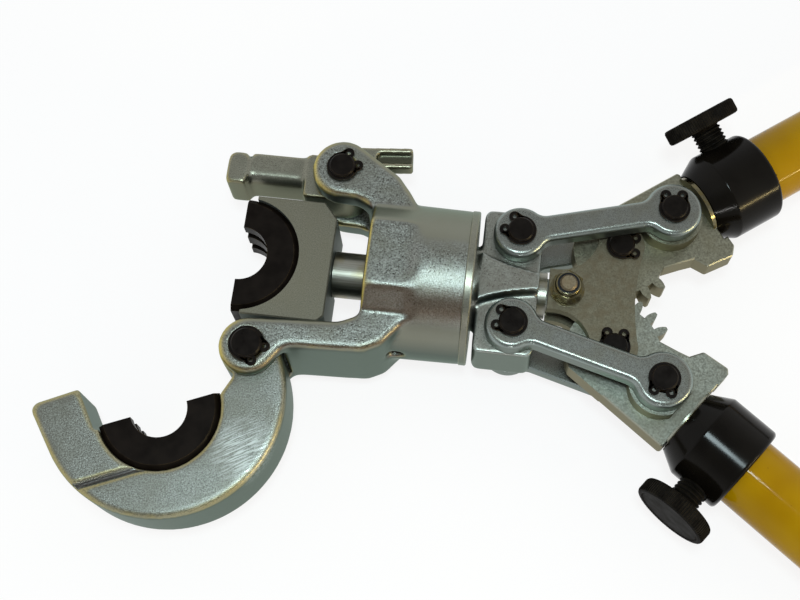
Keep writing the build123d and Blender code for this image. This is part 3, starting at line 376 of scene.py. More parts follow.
yellowPaint = {
    "deep": (0.290, 0.150, 0.0006), "bright": (0.345, 0.188, 0.0010), "speck": (0.030, 0.018, 0.004),
    "speckSize": 4 * mm, "speckNoise": (0.765, 0.79), "speckAmount": 0.8, "driftSize": 30 * mm,
    "roughness": (0.06, 0.10), "gloss": 0.10, "peelSize": 2.4 * mm, "peel": 0.05, "peelDepth": 0.05 * mm,
}


def groundFinish(name, look):
    material, tree, shader = startMaterial(name)
    lines = speckle(tree, look["lineSize"], turn=look["turn"], stretch=look["lineStretch"])
    cloud = speckle(tree, look["cloudSize"])
    colour = mixed(tree, span(tree, lines, *noiseMiddle), look["dark"], look["light"])
    tinted = span(tree, cloud, *look["tintCloud"], 0.0, look["tintAmount"])
    tree.links.new(mixed(tree, tinted, colour, look["tint"]), shader.inputs["Base Color"])
    shader.inputs["Metallic"].default_value = 1.0
    tree.links.new(span(tree, lines, *noiseWhole, *look["roughness"]), shader.inputs["Roughness"])
    tree.links.new(bump(tree, lines, look["bump"], look["bumpDepth"]), shader.inputs["Normal"])
    return material


groundRam = {
    "light": (0.300, 0.302, 0.262), "dark": (0.228, 0.226, 0.190), "tint": (0.236, 0.214, 0.130),
    "tintAmount": 0.7, "tintCloud": (0.45, 0.65), "cloudSize": 9 * mm, "lineSize": 0.9 * mm,
    "lineStretch": (0.05, 1.5, 1.5), "turn": 0.0, "roughness": (0.29, 0.41), "bump": 0.05,
    "bumpDepth": 0.03 * mm,
}
drawnTube = {
    **groundRam, "light": (0.175, 0.165, 0.115), "dark": (0.125, 0.115, 0.075),
    "tint": (0.180, 0.140, 0.045), "roughness": (0.24, 0.36),
}
goldFastener = {
    **groundRam, "light": (0.165, 0.150, 0.092), "dark": (0.125, 0.112, 0.066),
    "tint": (0.165, 0.128, 0.040), "lineStretch": (1, 1, 1), "cloudSize": 3 * mm, "roughness": (0.14, 0.24),
    "bump": 0.015,
}
boltEnd = {
    **goldFastener, "light": (0.215, 0.178, 0.120), "dark": (0.140, 0.112, 0.073),
    "tint": (0.175, 0.135, 0.083), "roughness": (0.45, 0.6), "bump": 0.15,
}

finishLooks = {
    platedFinish: {
        "castHead": castHead, "castJaw": castJaw, "castLatch": castLatch, "pressedLink": pressedLink,
        "flatPlate": flatPlate, "upperLever": forgedLever, "lowerLever": silverLever,
        "forgedYoke": forgedYoke, "turnedBand": turnedBand, "dieCarrier": dieCarrier,
    },
    blackFinish: {
        "phosphateDie": phosphateDie, "oxidePin": oxidePin, "knurledKnob": knurledKnob,
        "rubberGrip": rubberGrip, "nylonInsert": nylonInsert,
        "upperCollar": {**turnedCollar, "turn": handleTurn},
        "lowerCollar": {**turnedCollar, "turn": -handleTurn},
    },
    paintFinish: {"yellowPaint": yellowPaint},
    groundFinish: {
        "groundRam": groundRam, "goldFastener": goldFastener, "boltEnd": boltEnd,
        "upperTube": {**drawnTube, "turn": handleTurn},
        "lowerTube": {**drawnTube, "turn": -handleTurn},
    },
}
finishes = {name: make(name, look) for make, looks in finishLooks.items() for name, look in looks.items()}
print("finishes made:", len(finishes))

nodeFinish = {
    "head_casting": "castHead", "swing_jaw": "castJaw", "latch_hook": "castLatch",
    "swivel_yoke": "forgedYoke", "die_block": "dieCarrier", "block_die": "phosphateDie",
    "jaw_die": "phosphateDie", "ram_rod": "groundRam", "top_crosshead_plate": "flatPlate",
    "bottom_crosshead_plate": "flatPlate", "ram_bolt": "boltEnd", "ram_nut": "goldFastener",
    "ram_washers": "goldFastener", "swivel_stop_screw": "oxidePin",
}
endingFinish = {  # the braces take the node's own side
    "_pin": "oxidePin", "_rings": "oxidePin", "_link": "pressedLink", "_gear_lever": "{}Lever",
    "_collar": "{}Collar", "_inner_tube": "{}Tube", "_handle_tube": "yellowPaint", "_grip": "rubberGrip",
    "_thumbscrew": "knurledKnob",
}
for name, node in nodes.items():
    for ending, finish in endingFinish.items():
        if name.endswith(ending):
            nodeFinish[name] = finish.format(name.split("_")[0])
    node.data.materials.clear()
    node.data.materials.append(finishes[nodeFinish[name]])
print("finishes set on", len(nodes), "nodes")


# Pieces

copyGap = 0.001 * mm  # corners of a drawn solid's triangles this close are one point
spinGap = 0.002 * mm  # the same for a spun shape


def mergedCopy(nodeName):
    mesh = nodes[nodeName].data.copy()
    if mesh.has_custom_normals:  # they fit the drawn corners only
        mesh.attributes.remove(mesh.attributes["custom_normal"])
    bm = bmesh.new()
    bm.from_mesh(mesh)
    bpy.data.meshes.remove(mesh)
    bmesh.ops.remove_doubles(bm, verts=bm.verts, dist=copyGap)
    return bm


def meshFrom(bm, name):
    mesh = bpy.data.meshes.new(name)
    bm.to_mesh(mesh)
    bm.free()
    return mesh


def addObject(name, data):
    thing = bpy.data.objects.new(name, data)
    bpy.context.scene.collection.objects.link(thing)
    return thing


def shadeBy(mesh, degrees):  # smooth, apart from edges that bend by more
    mesh.shade_smooth()
    mesh.set_sharp_from_angle(angle=math.radians(degrees))


def addPiece(mesh, nodeName, pieceName, finishNames, slot):
    piece = addObject(pieceName, mesh)
    for finishName in finishNames:
        mesh.materials.append(finishes[finishName])
    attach(piece, nodes[nodeName]["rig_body"])
    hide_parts(nodeName)
    print("piece", pieceName, len(mesh.polygons), "faces")


def boxShell(low, high):
    bm = bmesh.new()
    bmesh.ops.create_cube(bm, size=1.0)
    bmesh.ops.scale(bm, verts=bm.verts, vec=Vector(high) - Vector(low))
    bmesh.ops.translate(bm, verts=bm.verts, vec=(Vector(low) + Vector(high)) / 2)
    return bm


def joined(shells):  # several closed shells in one mesh
    bm = bmesh.new()
    for shell in shells:
        mesh = meshFrom(shell, "shell")
        bm.from_mesh(mesh)
        bpy.data.meshes.remove(mesh)
    return bm


def carved(bm, name, cuts, voxel=None, place=Matrix()):  # boxes cut out, then an even skin if asked for
    holder = addObject(name, meshFrom(bm, name))
    cutters = []
    for low, high in cuts:
        shell = boxShell(Vector(low) * mm, Vector(high) * mm)
        bmesh.ops.transform(shell, matrix=place, verts=shell.verts)
        cutters.append(addObject("cutter", meshFrom(shell, "cutter")))
    for cutter in cutters:
        cut = holder.modifiers.new("cut", "BOOLEAN")
        cut.operation = "DIFFERENCE"
        cut.solver = "EXACT"
        cut.object = cutter
    if voxel:
        remesh = holder.modifiers.new("even", "REMESH")
        remesh.mode = "VOXEL"
        remesh.voxel_size = voxel
    depsgraph = bpy.context.evaluated_depsgraph_get()
    mesh = bpy.data.meshes.new_from_object(holder.evaluated_get(depsgraph))
    for spent in [holder] + cutters:
        bpy.data.objects.remove(spent)
    return mesh


castings = {  # cuts and adds are boxes in millimetres, bends are curvatures per metre
    "head_casting": {
        "piece": "headCasting", "finish": "castHead", "slot": "cast_zinc", "voxel": 1.0 * mm, "laps": 10,
        "bends": (170, 300), "cuts": [((14, 20, -12.2), (56.5, 36, 12.2))],
        "ridge": {"front": 60 * mm, "rear": 85 * mm, "fade": 5 * mm, "middle": 1.5 * mm, "top": 34.2 * mm,
                  "halfTop": 15.8 * mm, "foot": 25 * mm, "footPlay": 0.5 * mm, "slope": 0.92,
                  "leastLean": 0.3},
    },
    "swing_jaw": {
        "piece": "swingJaw", "finish": "castJaw", "slot": "cast_zinc", "voxel": 0.75 * mm, "laps": 8,
        "bends": (170, 310),
        "groove": {"start": (-14.9 * mm, -100.4 * mm), "turn": math.radians(203), "from": 8 * mm,
                   "to": 60 * mm, "half": 2.0 * mm, "depth": 1.1 * mm, "leastLean": 0.6},
    },
    "latch_hook": {
        "piece": "latchHook", "finish": "castLatch", "slot": "cast_zinc", "voxel": 0.6 * mm, "laps": 6,
        "bends": (230, 450), "softBefore": 26 * mm, "softLaps": 22,
        "channel": {"after": 55 * mm, "below": 2.9 * mm, "leastLean": 0.5},
        "adds": [((-3.0, 40.5, -11.5), (24, 53.8, 6.6)), ((-3.0, 41.1, -10.5), (24, 54.9, 8.4)),
                 ((-3.0, 42.1, -9.5), (24, 54.9, 9.8)), ((-3.0, 43.6, -8.5), (24, 54.9, 10.6)),
                 ((-14.3, 38.6, -11.2), (-4, 51.6, 11.2)), ((-13.4, 37.8, -12), (-4.6, 53.2, 12)),
                 ((-12.0, 40.0, -11.2), (-5.4, 54.3, 11.2))],
    },
    "swivel_yoke": {
        "piece": "swivelYoke", "finish": "forgedYoke", "slot": "plated_steel", "voxel": 0.8 * mm, "laps": 3,
        "bends": (260, 560),
    },
}
bendLaps = 2  # rounds of evening out the curvature


def sunkIn(vert, channel):  # on the floor of the channel
    inside = vert.co.x > channel["after"] and vert.co.z < channel["below"]
    return inside and vert.normal.z > channel["leastLean"]


def markEdges(mesh, look):  # how far each point bulges out or in, for the gold tarnish and painted glint on edges and the painted shade in hollows
    low, high = look["bends"]
    bm = bmesh.new()
    bm.from_mesh(mesh)
    bends = []
    for vert in bm.verts:
        ends = [edge.other_vert(vert).co for edge in vert.link_edges]
        middle = sum(ends, Vector()) / len(ends)
        reach = sum((end - vert.co).length_squared for end in ends) / len(ends)
        sunk = "channel" in look and sunkIn(vert, look["channel"])
        bend = -4 * (middle - vert.co).dot(vert.normal) / reach  # both curvatures added up
        # the channel floor counts as a full hollow, so it takes the painted shade
        bends.append(-high if sunk else bend)
    for lap in range(bendLaps):
        bends = [(bends[vert.index] + sum(bends[edge.other_vert(vert).index] for edge in vert.link_edges))
                 / (1 + len(vert.link_edges)) for vert in bm.verts]
    bm.free()
    for name, sign in (("edge", 1), ("hollow", -1)):
        values = [min(1.0, max(0.0, (sign * bend - low) / (high - low))) for bend in bends]
        mesh.attributes.new(name, "FLOAT", "POINT").data.foreach_set("value", values)


def raiseRidge(skin, ridge):  # flat topped ridge above and below the barrel's front
    skin.normal_update()
    for vert in skin.verts:
        place = vert.co
        if not ridge["front"] < place.x < ridge["rear"] or abs(vert.normal.z) < ridge["leastLean"]:
            continue
        if abs(place.z) < ridge["foot"] - ridge["footPlay"]:
            continue
        fall = max(0.0, abs(place.y - ridge["middle"]) - ridge["halfTop"])
        height = max(ridge["foot"], ridge["top"] - fall * ridge["slope"])
        share = min(1.0, (ridge["rear"] - place.x) / ridge["fade"])
        place.z += share * (math.copysign(height, place.z) - place.z)


def cutGroove(skin, groove):  # a scored line across both faces
    skin.normal_update()
    start = Vector(groove["start"])
    along = Vector((math.cos(groove["turn"]), math.sin(groove["turn"])))
    for vert in skin.verts:
        reach = vert.co.xy - start
        off = reach.cross(along) / groove["half"]
        inside = abs(off) < 1 and groove["from"] < reach.dot(along) < groove["to"]
        if inside and abs(vert.normal.z) > groove["leastLean"]:
            vert.co.z -= math.copysign(groove["depth"] * (1 - off * off), vert.co.z)


def soften(skin, verts, laps):
    for lap in range(laps):
        bmesh.ops.smooth_vert(skin, verts=verts, factor=0.5, use_axis_x=True, use_axis_y=True,
                              use_axis_z=True)


def castPiece(nodeName, look):  # an even skin over the drawn shape, with its edges and hollows softened
    adds = [boxShell(Vector(low) * mm, Vector(high) * mm) for low, high in look.get("adds", ())]
    mesh = carved(joined([mergedCopy(nodeName)] + adds), look["piece"], look.get("cuts", ()), look["voxel"])
    skin = bmesh.new()
    skin.from_mesh(mesh)
    if "ridge" in look:
        raiseRidge(skin, look["ridge"])
    soften(skin, skin.verts[:], look["laps"])
    if "softBefore" in look:
        soften(skin, [vert for vert in skin.verts if vert.co.x < look["softBefore"]], look["softLaps"])
    if "groove" in look:
        cutGroove(skin, look["groove"])
    skin.to_mesh(mesh)
    skin.free()
    mesh.shade_smooth()
    markEdges(mesh, look)
    addPiece(mesh, nodeName, look["piece"], [look["finish"]], look["slot"])


for nodeName, look in castings.items():
    castPiece(nodeName, look)


def outlineOf(bm, points, closed=True):  # a line of edges to spin
    verts = [bm.verts.new(point) for point in points]
    ends = verts[1:] + verts[:1] if closed else verts[1:]
    return verts + [bm.edges.new(pair) for pair in zip(verts, ends)]


def spun(points, steps, axis=(0, 0, 1), closed=True):
    bm = bmesh.new()
    line = outlineOf(bm, points, closed)
    bmesh.ops.spin(bm, geom=line, cent=(0, 0, 0), axis=axis, angle=2 * math.pi, steps=steps, use_merge=True)
    bmesh.ops.remove_doubles(bm, verts=bm.verts, dist=spinGap)
    bmesh.ops.recalc_face_normals(bm, faces=bm.faces)
    return bm


def quarterRound(radius, high, corner):  # from the wall round to the end face, in radius and height
    turns = [math.radians(turn) for turn in range(0, 91, 15)]  # every 15 degrees
    return [(radius - corner * (1 - math.cos(turn)), high - corner * (1 - math.sin(turn)))
            for turn in turns]


def closeEnds(bm):
    bmesh.ops.holes_fill(bm, edges=[edge for edge in bm.edges if edge.is_boundary], sides=0)
    bmesh.ops.recalc_face_normals(bm, faces=bm.faces)


bandLook = {
    "front": 106.4 * mm, "rear": 110.2 * mm, "radius": 36.6 * mm, "inner": 30.0 * mm, "bevel": 0.5 * mm,
    "steps": 128, "sharp": 30,
}


def barrelBand():  # turned rim at the barrel's rear end
    look = bandLook
    front, rear, radius, bevel = look["front"], look["rear"], look["radius"], look["bevel"]
    outline = [(front, look["inner"], 0), (front, radius - bevel, 0), (front + bevel, radius, 0),
               (rear - bevel, radius, 0), (rear, radius - bevel, 0), (rear, look["inner"], 0)]
    mesh = meshFrom(spun(outline, look["steps"], axis=(1, 0, 0)), "barrelBand")
    shadeBy(mesh, look["sharp"])
    band = addObject("barrelBand", mesh)
    mesh.materials.append(finishes["turnedBand"])
    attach(band, "head")
    print("piece barrelBand", len(mesh.polygons), "faces")


barrelBand()

ringLook = {
    "band": 1.2 * mm, "earReach": 1.3 * mm, "earTurn": math.radians(31.5), "earRadius": 2.55 * mm,
    "hole": 0.95 * mm, "groove": 0.3 * mm, "shoulder": 1.35 * mm, "shoulderShare": 1 / 3, "steps": 40,
    "earSteps": 24, "drawnEar": 2.5 * mm, "sharp": 40,
}


def islands(bm):  # the loose shells of a mesh
    seen = set()
    for first in bm.verts:
        if first in seen:
            continue
        seen.add(first)
        shell = []
        reach = [first]
        while reach:
            vert = reach.pop()
            shell.append(vert)
            for edge in vert.link_edges:
                other = edge.other_vert(vert)
                if other not in seen:
                    seen.add(other)
                    reach.append(other)
        yield shell


def ringSection(inner, outer, low, high):
    return [(inner, 0, low), (outer, 0, low), (outer, 0, high), (inner, 0, high)]


def openRing(section, gap, steps):
    bm = bmesh.new()
    line = outlineOf(bm, section)
    bmesh.ops.rotate(bm, verts=bm.verts, cent=(0, 0, 0), matrix=Matrix.Rotation(gap / 2, 3, "Z"))
    bmesh.ops.spin(bm, geom=line, cent=(0, 0, 0), axis=(0, 0, 1), angle=2 * math.pi - gap, steps=steps)
    closeEnds(bm)
    return bm


def retainingRing(centre, pinRadius, low, high, gapTurn):
    look = ringLook
    gap = 2 * look["earTurn"] + look["earRadius"] / pinRadius
    section = ringSection(pinRadius - look["groove"], pinRadius + look["band"], low, high)
    shells = [openRing(section, gap, look["steps"])]
    for turn in (look["earTurn"], -look["earTurn"]):
        ear = spun(ringSection(look["hole"], look["earRadius"], low, high), look["earSteps"])
        reach = pinRadius + look["earReach"]
        middle = Vector((reach * math.cos(turn), reach * math.sin(turn), 0))
        bmesh.ops.translate(ear, verts=ear.verts, vec=middle)
        outer = middle.y + math.copysign(look["earRadius"], turn)  # straight shoulder between ring and ear
        inner = middle.y + math.copysign(look["shoulder"], turn)
        start = reach * look["shoulderShare"]
        shells += [ear, boxShell((start, min(inner, outer), low), (middle.x, max(inner, outer), high))]
    bm = joined(shells)
    place = Matrix.Translation((centre.x, centre.y, 0)) @ Matrix.Rotation(gapTurn, 4, "Z")
    bmesh.ops.transform(bm, matrix=place, verts=bm.verts)
    return bm


ringPieces = {
    "head_retaining_rings": "headRings", "yoke_retaining_rings": "yokeRings",
    "crosshead_retaining_rings": "crossheadRings", "upper_link_pin_rings": "upperLinkRings",
    "lower_link_pin_rings": "lowerLinkRings",
}
pinBoxes = [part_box(name) for name in nodes if name.endswith("_pin")]


def retainingRings(nodeName, pieceName):  # one for each drawn ring, with its gap between the drawn ears
    drawn = mergedCopy(nodeName)
    shells = []
    for shell in islands(drawn):
        middle = sum((vert.co for vert in shell), Vector()) / len(shell)
        low, high = min(pinBoxes, key=lambda box: ((box[0] + box[1]) / 2 - middle).xy.length)
        centre = (low + high) / 2
        pinRadius = (high.x - low.x) / 2
        spokes = [(vert.co - centre).xy for vert in shell]
        ears = [spoke for spoke in spokes if spoke.length > pinRadius + ringLook["drawnEar"]]
        toward = sum(ears, Vector((0, 0)))
        levels = [vert.co.z for vert in shell]
        gapTurn = math.atan2(toward.y, toward.x)
        shells.append(retainingRing(centre, pinRadius, min(levels), max(levels), gapTurn))
    drawn.free()
    mesh = meshFrom(joined(shells), pieceName)
    shadeBy(mesh, ringLook["sharp"])
    addPiece(mesh, nodeName, pieceName, ["oxidePin"], "black_steel")


for nodeName, pieceName in ringPieces.items():
    retainingRings(nodeName, pieceName)


def axisFrame(origin, axis):  # local +Z along the axis
    return Matrix.Translation(origin) @ Vector(axis).to_track_quat("Z", "Y").to_matrix().to_4x4()


thumbscrewLook = {
    "knobRadius": 17.9 * mm, "knobThick": 7.6 * mm, "chamfer": 1.3 * mm, "teeth": 84,
    "toothDepth": 0.35 * mm, "faceInset": 1.6 * mm, "faceSink": 0.35 * mm, "shank": 17.6 * mm,
    "crest": 7.15 * mm, "root": 6.2 * mm, "pitch": 2.0 * mm, "crestShares": (0.38, 0.56), "threadSteps": 36,
    "sink": 1.0 * mm, "sharp": 22,
}


def addThread(bm, look, low, high):
    pitch = look["pitch"]
    turns = math.ceil((high - low) / pitch)
    crests = [(look["crest"], share) for share in look["crestShares"]]
    profile = [(look["root"], 0.0), *crests, (look["root"], 1.0)]
    points = [(radius, 0, low - pitch + share * pitch) for radius, share in profile]
    line = outlineOf(bm, points, closed=False)
    bmesh.ops.spin(bm, geom=line, cent=(0, 0, 0), axis=(0, 0, 1), angle=2 * math.pi * turns,
                   steps=turns * look["threadSteps"], dvec=(0, 0, pitch / look["threadSteps"]))
    bmesh.ops.remove_doubles(bm, verts=bm.verts, dist=spinGap)


def thumbscrew(side):
    look = thumbscrewLook
    joint = joints[side + "_thumbscrew_turn"]
    lines = 2 * look["teeth"]
    bm = bmesh.new()
    knob = bmesh.ops.create_cone(bm, segments=lines, radius1=look["knobRadius"], radius2=look["knobRadius"],
                                 depth=look["knobThick"], cap_ends=True)["verts"]
    bmesh.ops.translate(bm, verts=knob, vec=(0, 0, look["knobThick"] / 2))
    for vert in knob:  # straight knurl: every second line lies deeper
        line = round(math.atan2(vert.co.y, vert.co.x) * look["teeth"] / math.pi)
        if line % 2:
            vert.co.xy *= 1 - look["toothDepth"] / look["knobRadius"]
    caps = [face for face in bm.faces if len(face.verts) == lines]
    rims = [edge for cap in caps for edge in cap.edges]
    bmesh.ops.bevel(bm, geom=rims, offset=look["chamfer"], segments=2, profile=0.5, affect="EDGES",
                    material=-1)
    caps = [face for face in bm.faces if len(face.verts) == lines]
    for depth in (0.0, -look["faceSink"]):
        bmesh.ops.inset_individual(bm, faces=caps, thickness=look["faceInset"] / 2, depth=depth)
    addThread(bm, look, -look["shank"], look["sink"])
    closeEnds(bm)
    bmesh.ops.transform(bm, matrix=axisFrame(joint["pos_m"], joint["axis"]), verts=bm.verts)
    mesh = meshFrom(bm, side + "Thumbscrew")
    shadeBy(mesh, look["sharp"])
    addPiece(mesh, side + "_thumbscrew", side + "Thumbscrew", ["knurledKnob"], "black_steel")


for side in sides:
    thumbscrew(side)

knobReach = 31.5 * mm  # from a handle's axis to its knob


def handleAxis(side):
    screw = joints[side + "_thumbscrew_turn"]
    origin = Vector(screw["pos_m"]) - Vector(screw["axis"]) * knobReach
    return origin, Vector(joints[side + "_handle_slide"]["axis"])


gripLook = {
    "ribs": 15, "ribDepth": 0.8 * mm, "ribShare": 0.3, "endRound": 4.5 * mm, "endWall": 6 * mm, "steps": 64,
    "lip": 1.2 * mm, "play": 0.05 * mm, "tubeRadius": 17.0 * mm, "bare": 12 * mm, "sharp": 40,
}


def ribbedGrip(side):
    look = gripLook
    origin, axis = handleAxis(side)
    points = [vert.co - origin for vert in nodes[side + "_grip"].data.vertices]
    along = [point.dot(axis) for point in points]
    low, high = min(along), max(along)
    radius = max((point - axis * point.dot(axis)).length for point in points)
    bore = look["tubeRadius"] + look["play"]
    floor = high - look["endWall"]
    outline = [(0.0, floor), (bore, floor), (bore, low)]
    outline += [(radius - look["lip"], low), (radius, low + look["lip"])]
    step = (high - low - 2 * look["bare"]) / look["ribs"]
    half = look["ribShare"]
    for rib in range(look["ribs"]):  # a shallow groove in the middle of each step
        start = low + look["bare"] + rib * step
        for share, depth in ((-half, 0), (-half / 2, 1), (half / 2, 1), (half, 0)):
            outline.append((radius - depth * look["ribDepth"], start + (0.5 + share) * step))
    outline += quarterRound(radius, high, look["endRound"]) + [(0.0, high)]
    bm = spun([(across, 0, place) for across, place in outline], look["steps"], closed=False)
    bmesh.ops.transform(bm, matrix=axisFrame(origin, axis), verts=bm.verts)
    mesh = meshFrom(bm, side + "Grip")
    shadeBy(mesh, look["sharp"])
    addPiece(mesh, side + "_grip", side + "Grip", ["rubberGrip"], "black_grip")


for side in sides:
    ribbedGrip(side)

leverLook = {  # lengths in millimetres, boxes along the handle, across it and up from its axis
    "plate": 6.0, "top": 18.0, "half": 18.0, "front": -28.0, "rear": -22.5, "radius": 16.0, "play": 0.03,
    "merge": 0.02, "flat": math.radians(1), "sharp": 30, "ferrule": {"upper": 1.2, "lower": 0.25},
    "rim": {"upper": "goldFastener", "lower": "lowerLever"},
    "trims": {"upper": [((-130.0, 18.25, -7.0), (-57.0, 45.0, 7.0))],
              "lower": [((-130.0, -45.0, -7.0), (-57.0, -18.25, 7.0)),
                        ((-21.62, 20.5, -7.0), (-15.0, 40.0, 7.0))]},
}


# the ferrule's front is cut back clear of the link's eye, and the plate's outline is trimmed
def gearLever(side):
    look = leverLook
    origin, axis = handleAxis(side)
    across = Vector((0, 0, 1)).cross(axis)
    place = Matrix((axis, across, (0, 0, 1))).transposed().to_4x4()
    place.translation = origin
    back = look["rear"] - look["ferrule"][side]
    cuts = [((look["front"], -look["half"], min(ends)), (back, look["half"], max(ends)))
            for ends in ((look["plate"], look["top"]), (-look["plate"], -look["top"]))]
    cuts += look["trims"][side]
    mesh = carved(mergedCopy(side + "_gear_lever"), side + "GearLever", cuts, place=place)
    bm = bmesh.new()
    bm.from_mesh(mesh)
    bmesh.ops.remove_doubles(bm, verts=bm.verts, dist=look["merge"] * mm)
    bmesh.ops.dissolve_limit(bm, angle_limit=look["flat"], verts=bm.verts, edges=bm.edges)
    inward = place.inverted()
    for face in bm.faces:
        corners = [inward @ vert.co / mm for vert in face.verts]
        onRim = all(abs(corner.yz.length - look["radius"]) < look["play"] for corner in corners)
        offPlate = all(abs(corner.z) > look["plate"] - look["play"] for corner in corners)
        face.material_index = int(onRim and offPlate)
    bm.to_mesh(mesh)
    bm.free()
    shadeBy(mesh, look["sharp"])
    leverFinishes = [side + "Lever", look["rim"][side]]
    addPiece(mesh, side + "_gear_lever", side + "GearLever", leverFinishes, "cast_zinc")


for side in sides:
    gearLever(side)

nutLook = {
    "across": 13.0 * mm, "hexHeight": 5.6 * mm, "cornerBevel": 0.7 * mm, "collarRadius": 6.1 * mm,
    "collarRound": 1.4 * mm, "collarSink": 0.5 * mm, "insertRadius": 5.0 * mm, "insertSink": 0.35 * mm,
    "bore": 4.05 * mm, "steps": 48, "sharp": 30,
}


def lockNut():
    look = nutLook
    low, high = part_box("ram_nut")
    centre = (low + high) / 2
    height = high.z - low.z
    corner = look["across"] / math.sqrt(3)
    hexagon = bmesh.new()
    verts = bmesh.ops.create_cone(hexagon, segments=6, radius1=corner, radius2=corner,
                                  depth=look["hexHeight"], cap_ends=True)["verts"]
    bmesh.ops.translate(hexagon, verts=verts, vec=(0, 0, look["hexHeight"] / 2))
    bmesh.ops.bevel(hexagon, geom=verts, offset=look["cornerBevel"], segments=2, profile=0.5,
                    affect="VERTICES", material=-1)
    foot = look["hexHeight"] - look["collarSink"]
    seat = height - look["insertSink"]
    outline = [(look["collarRadius"], foot)]
    outline += quarterRound(look["collarRadius"], height, look["collarRound"])
    outline += [(look["insertRadius"], height), (look["insertRadius"], seat), (look["bore"], seat),
                (look["bore"], foot)]
    bm = joined([hexagon, spun([(across, 0, place) for across, place in outline], look["steps"])])
    for face in bm.faces:
        middle = face.calc_center_median()
        if middle.xy.length < look["insertRadius"] and middle.z > look["hexHeight"]:
            face.material_index = 1
    bmesh.ops.translate(bm, verts=bm.verts, vec=(centre.x, centre.y, low.z))
    mesh = meshFrom(bm, "lockNut")
    shadeBy(mesh, look["sharp"])
    addPiece(mesh, "ram_nut", "lockNut", ["goldFastener", "nylonInsert"], "plated_steel")


lockNut()


# Stage, light and camera

def backgroundRays(tree):  # camera, glossy and transmission rays
    path = addNode(tree, "ShaderNodeLightPath").outputs
    seen = calc(tree, "MAXIMUM", path["Is Camera Ray"], path["Is Glossy Ray"])
    return calc(tree, "MAXIMUM", seen, path["Is Transmission Ray"])


white = (1, 1, 1, 1)
stageLook = {
    "floorSize": 30.0, "floorCells": 8, "floorColour": (0.94, 0.94, 0.94), "glow": 0.84, "fill": 0.60,
    "overhead": 0.50, "overheadRange": (0.45, 0.95), "shade": 0.35, "shadeSide": (0, -0.78, 0.63),
    "shadeRange": (0.72, 0.93),
}


def addFloor():
    look = stageLook
    bm = bmesh.new()
    bmesh.ops.create_grid(bm, x_segments=look["floorCells"], y_segments=look["floorCells"],
                          size=look["floorSize"] / 2)
    bmesh.ops.translate(bm, verts=bm.verts, vec=(0, 0, cadBox[0][2]))
    mesh = meshFrom(bm, "studioFloor")
    floor = addObject("studioFloor", mesh)
    material, tree = startMaterial("studioFloor")[:2]
    tree.nodes.clear()
    paint = addNode(tree, "ShaderNodeBsdfDiffuse", {"Color": (*look["floorColour"], 1)})
    glow = addNode(tree, "ShaderNodeEmission", {"Color": white, "Strength": 1.0})
    share = times(tree, backgroundRays(tree), look["glow"])
    blend = addNode(tree, "ShaderNodeMixShader", {0: share, 1: paint.outputs[0], 2: glow.outputs[0]})
    addNode(tree, "ShaderNodeOutputMaterial", {"Surface": blend.outputs[0]})
    mesh.materials.append(material)


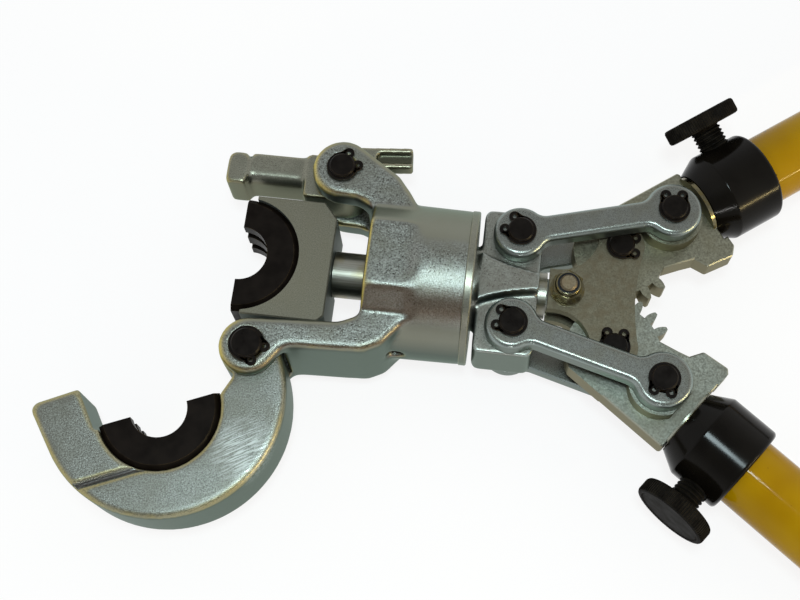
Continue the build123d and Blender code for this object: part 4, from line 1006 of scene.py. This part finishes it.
def addWorld():
    look = stageLook
    world = bpy.data.worlds.new("studio")
    world.use_nodes = True
    tree = world.node_tree
    tree.nodes.clear()
    fill = addNode(tree, "ShaderNodeBackground", {"Color": white, "Strength": look["fill"]})
    direction = addNode(tree, "ShaderNodeTexCoord").outputs["Generated"]
    height = addNode(tree, "ShaderNodeSeparateXYZ", {0: direction}).outputs[2]
    level = span(tree, height, *look["overheadRange"], 1.0, look["overhead"])
    side = dotProduct(tree, direction, look["shadeSide"])
    shade = span(tree, side, *look["shadeRange"], 1.0, look["shade"])  # dark room seen in the metal
    mirrored = addNode(tree, "ShaderNodeLightPath").outputs["Is Glossy Ray"]
    level = times(tree, level, span(tree, mirrored, 0.0, 1.0, 1.0, shade))
    backdrop = addNode(tree, "ShaderNodeBackground", {"Color": white, "Strength": level})
    inputs = {0: backgroundRays(tree), 1: fill.outputs[0], 2: backdrop.outputs[0]}
    blend = addNode(tree, "ShaderNodeMixShader", inputs)
    addNode(tree, "ShaderNodeOutputWorld", {"Surface": blend.outputs[0]})
    bpy.context.scene.world = world


lamps = {
    "overCamera": {"aim": (0.10, 0.0, 0.0), "toward": (0.02, -0.17, 0.985), "far": 0.95,
                   "size": (0.16, 0.16), "along": (1, 0, 0), "watts": 4.1, "colour": (0.78, 0.96, 1.0)},
    "lowKey": {"aim": (0.14, 0.0, 0.0), "toward": (0.05, -0.90, 0.36), "far": 1.3, "size": (0.05, 0.05),
               "along": (1, 0, 0), "watts": 0.7, "colour": (1.0, 0.98, 0.95)},
    "warmSide": {"aim": (0.246, 0.078, 0.0), "toward": (0.841, -0.452, 0.298), "far": 1.3,
                 "size": (0.60, 0.03), "along": (math.cos(handleTurn), math.sin(handleTurn), 0),
                 "watts": 6.0, "colour": (1.0, 0.78, 0.36)},
}


def addLamps():
    for name, lamp in lamps.items():
        light = bpy.data.lights.new(name, "AREA")
        light.shape = "RECTANGLE"
        light.size, light.size_y = lamp["size"]
        light.energy = lamp["watts"]
        light.color = lamp["colour"]
        holder = addObject(name, light)
        toward = Vector(lamp["toward"]).normalized()
        across = toward.cross(lamp["along"]).normalized()
        holder.location = Vector(lamp["aim"]) + toward * lamp["far"]
        holder.rotation_euler = Matrix((across.cross(toward), across, toward)).transposed().to_euler()


cameraLook = {
    "place": (0.1202, -0.20675, 0.5810), "turn": (0.3333, 0.0338, 0.1216), "lens": 58.5, "sensor": 36.0,
    "nearest": 0.01,
}


def addCamera():
    camera = bpy.data.cameras.new("photoCamera")
    camera.sensor_width = cameraLook["sensor"]
    camera.lens = cameraLook["lens"]
    camera.clip_start = cameraLook["nearest"]
    holder = addObject("photoCamera", camera)
    holder.location = cameraLook["place"]
    holder.rotation_euler = cameraLook["turn"]
    bpy.context.scene.camera = holder


addFloor()
addWorld()
addLamps()
addCamera()
bpy.context.scene.view_settings.view_transform = "Standard"
print("stage, lamps and camera set")
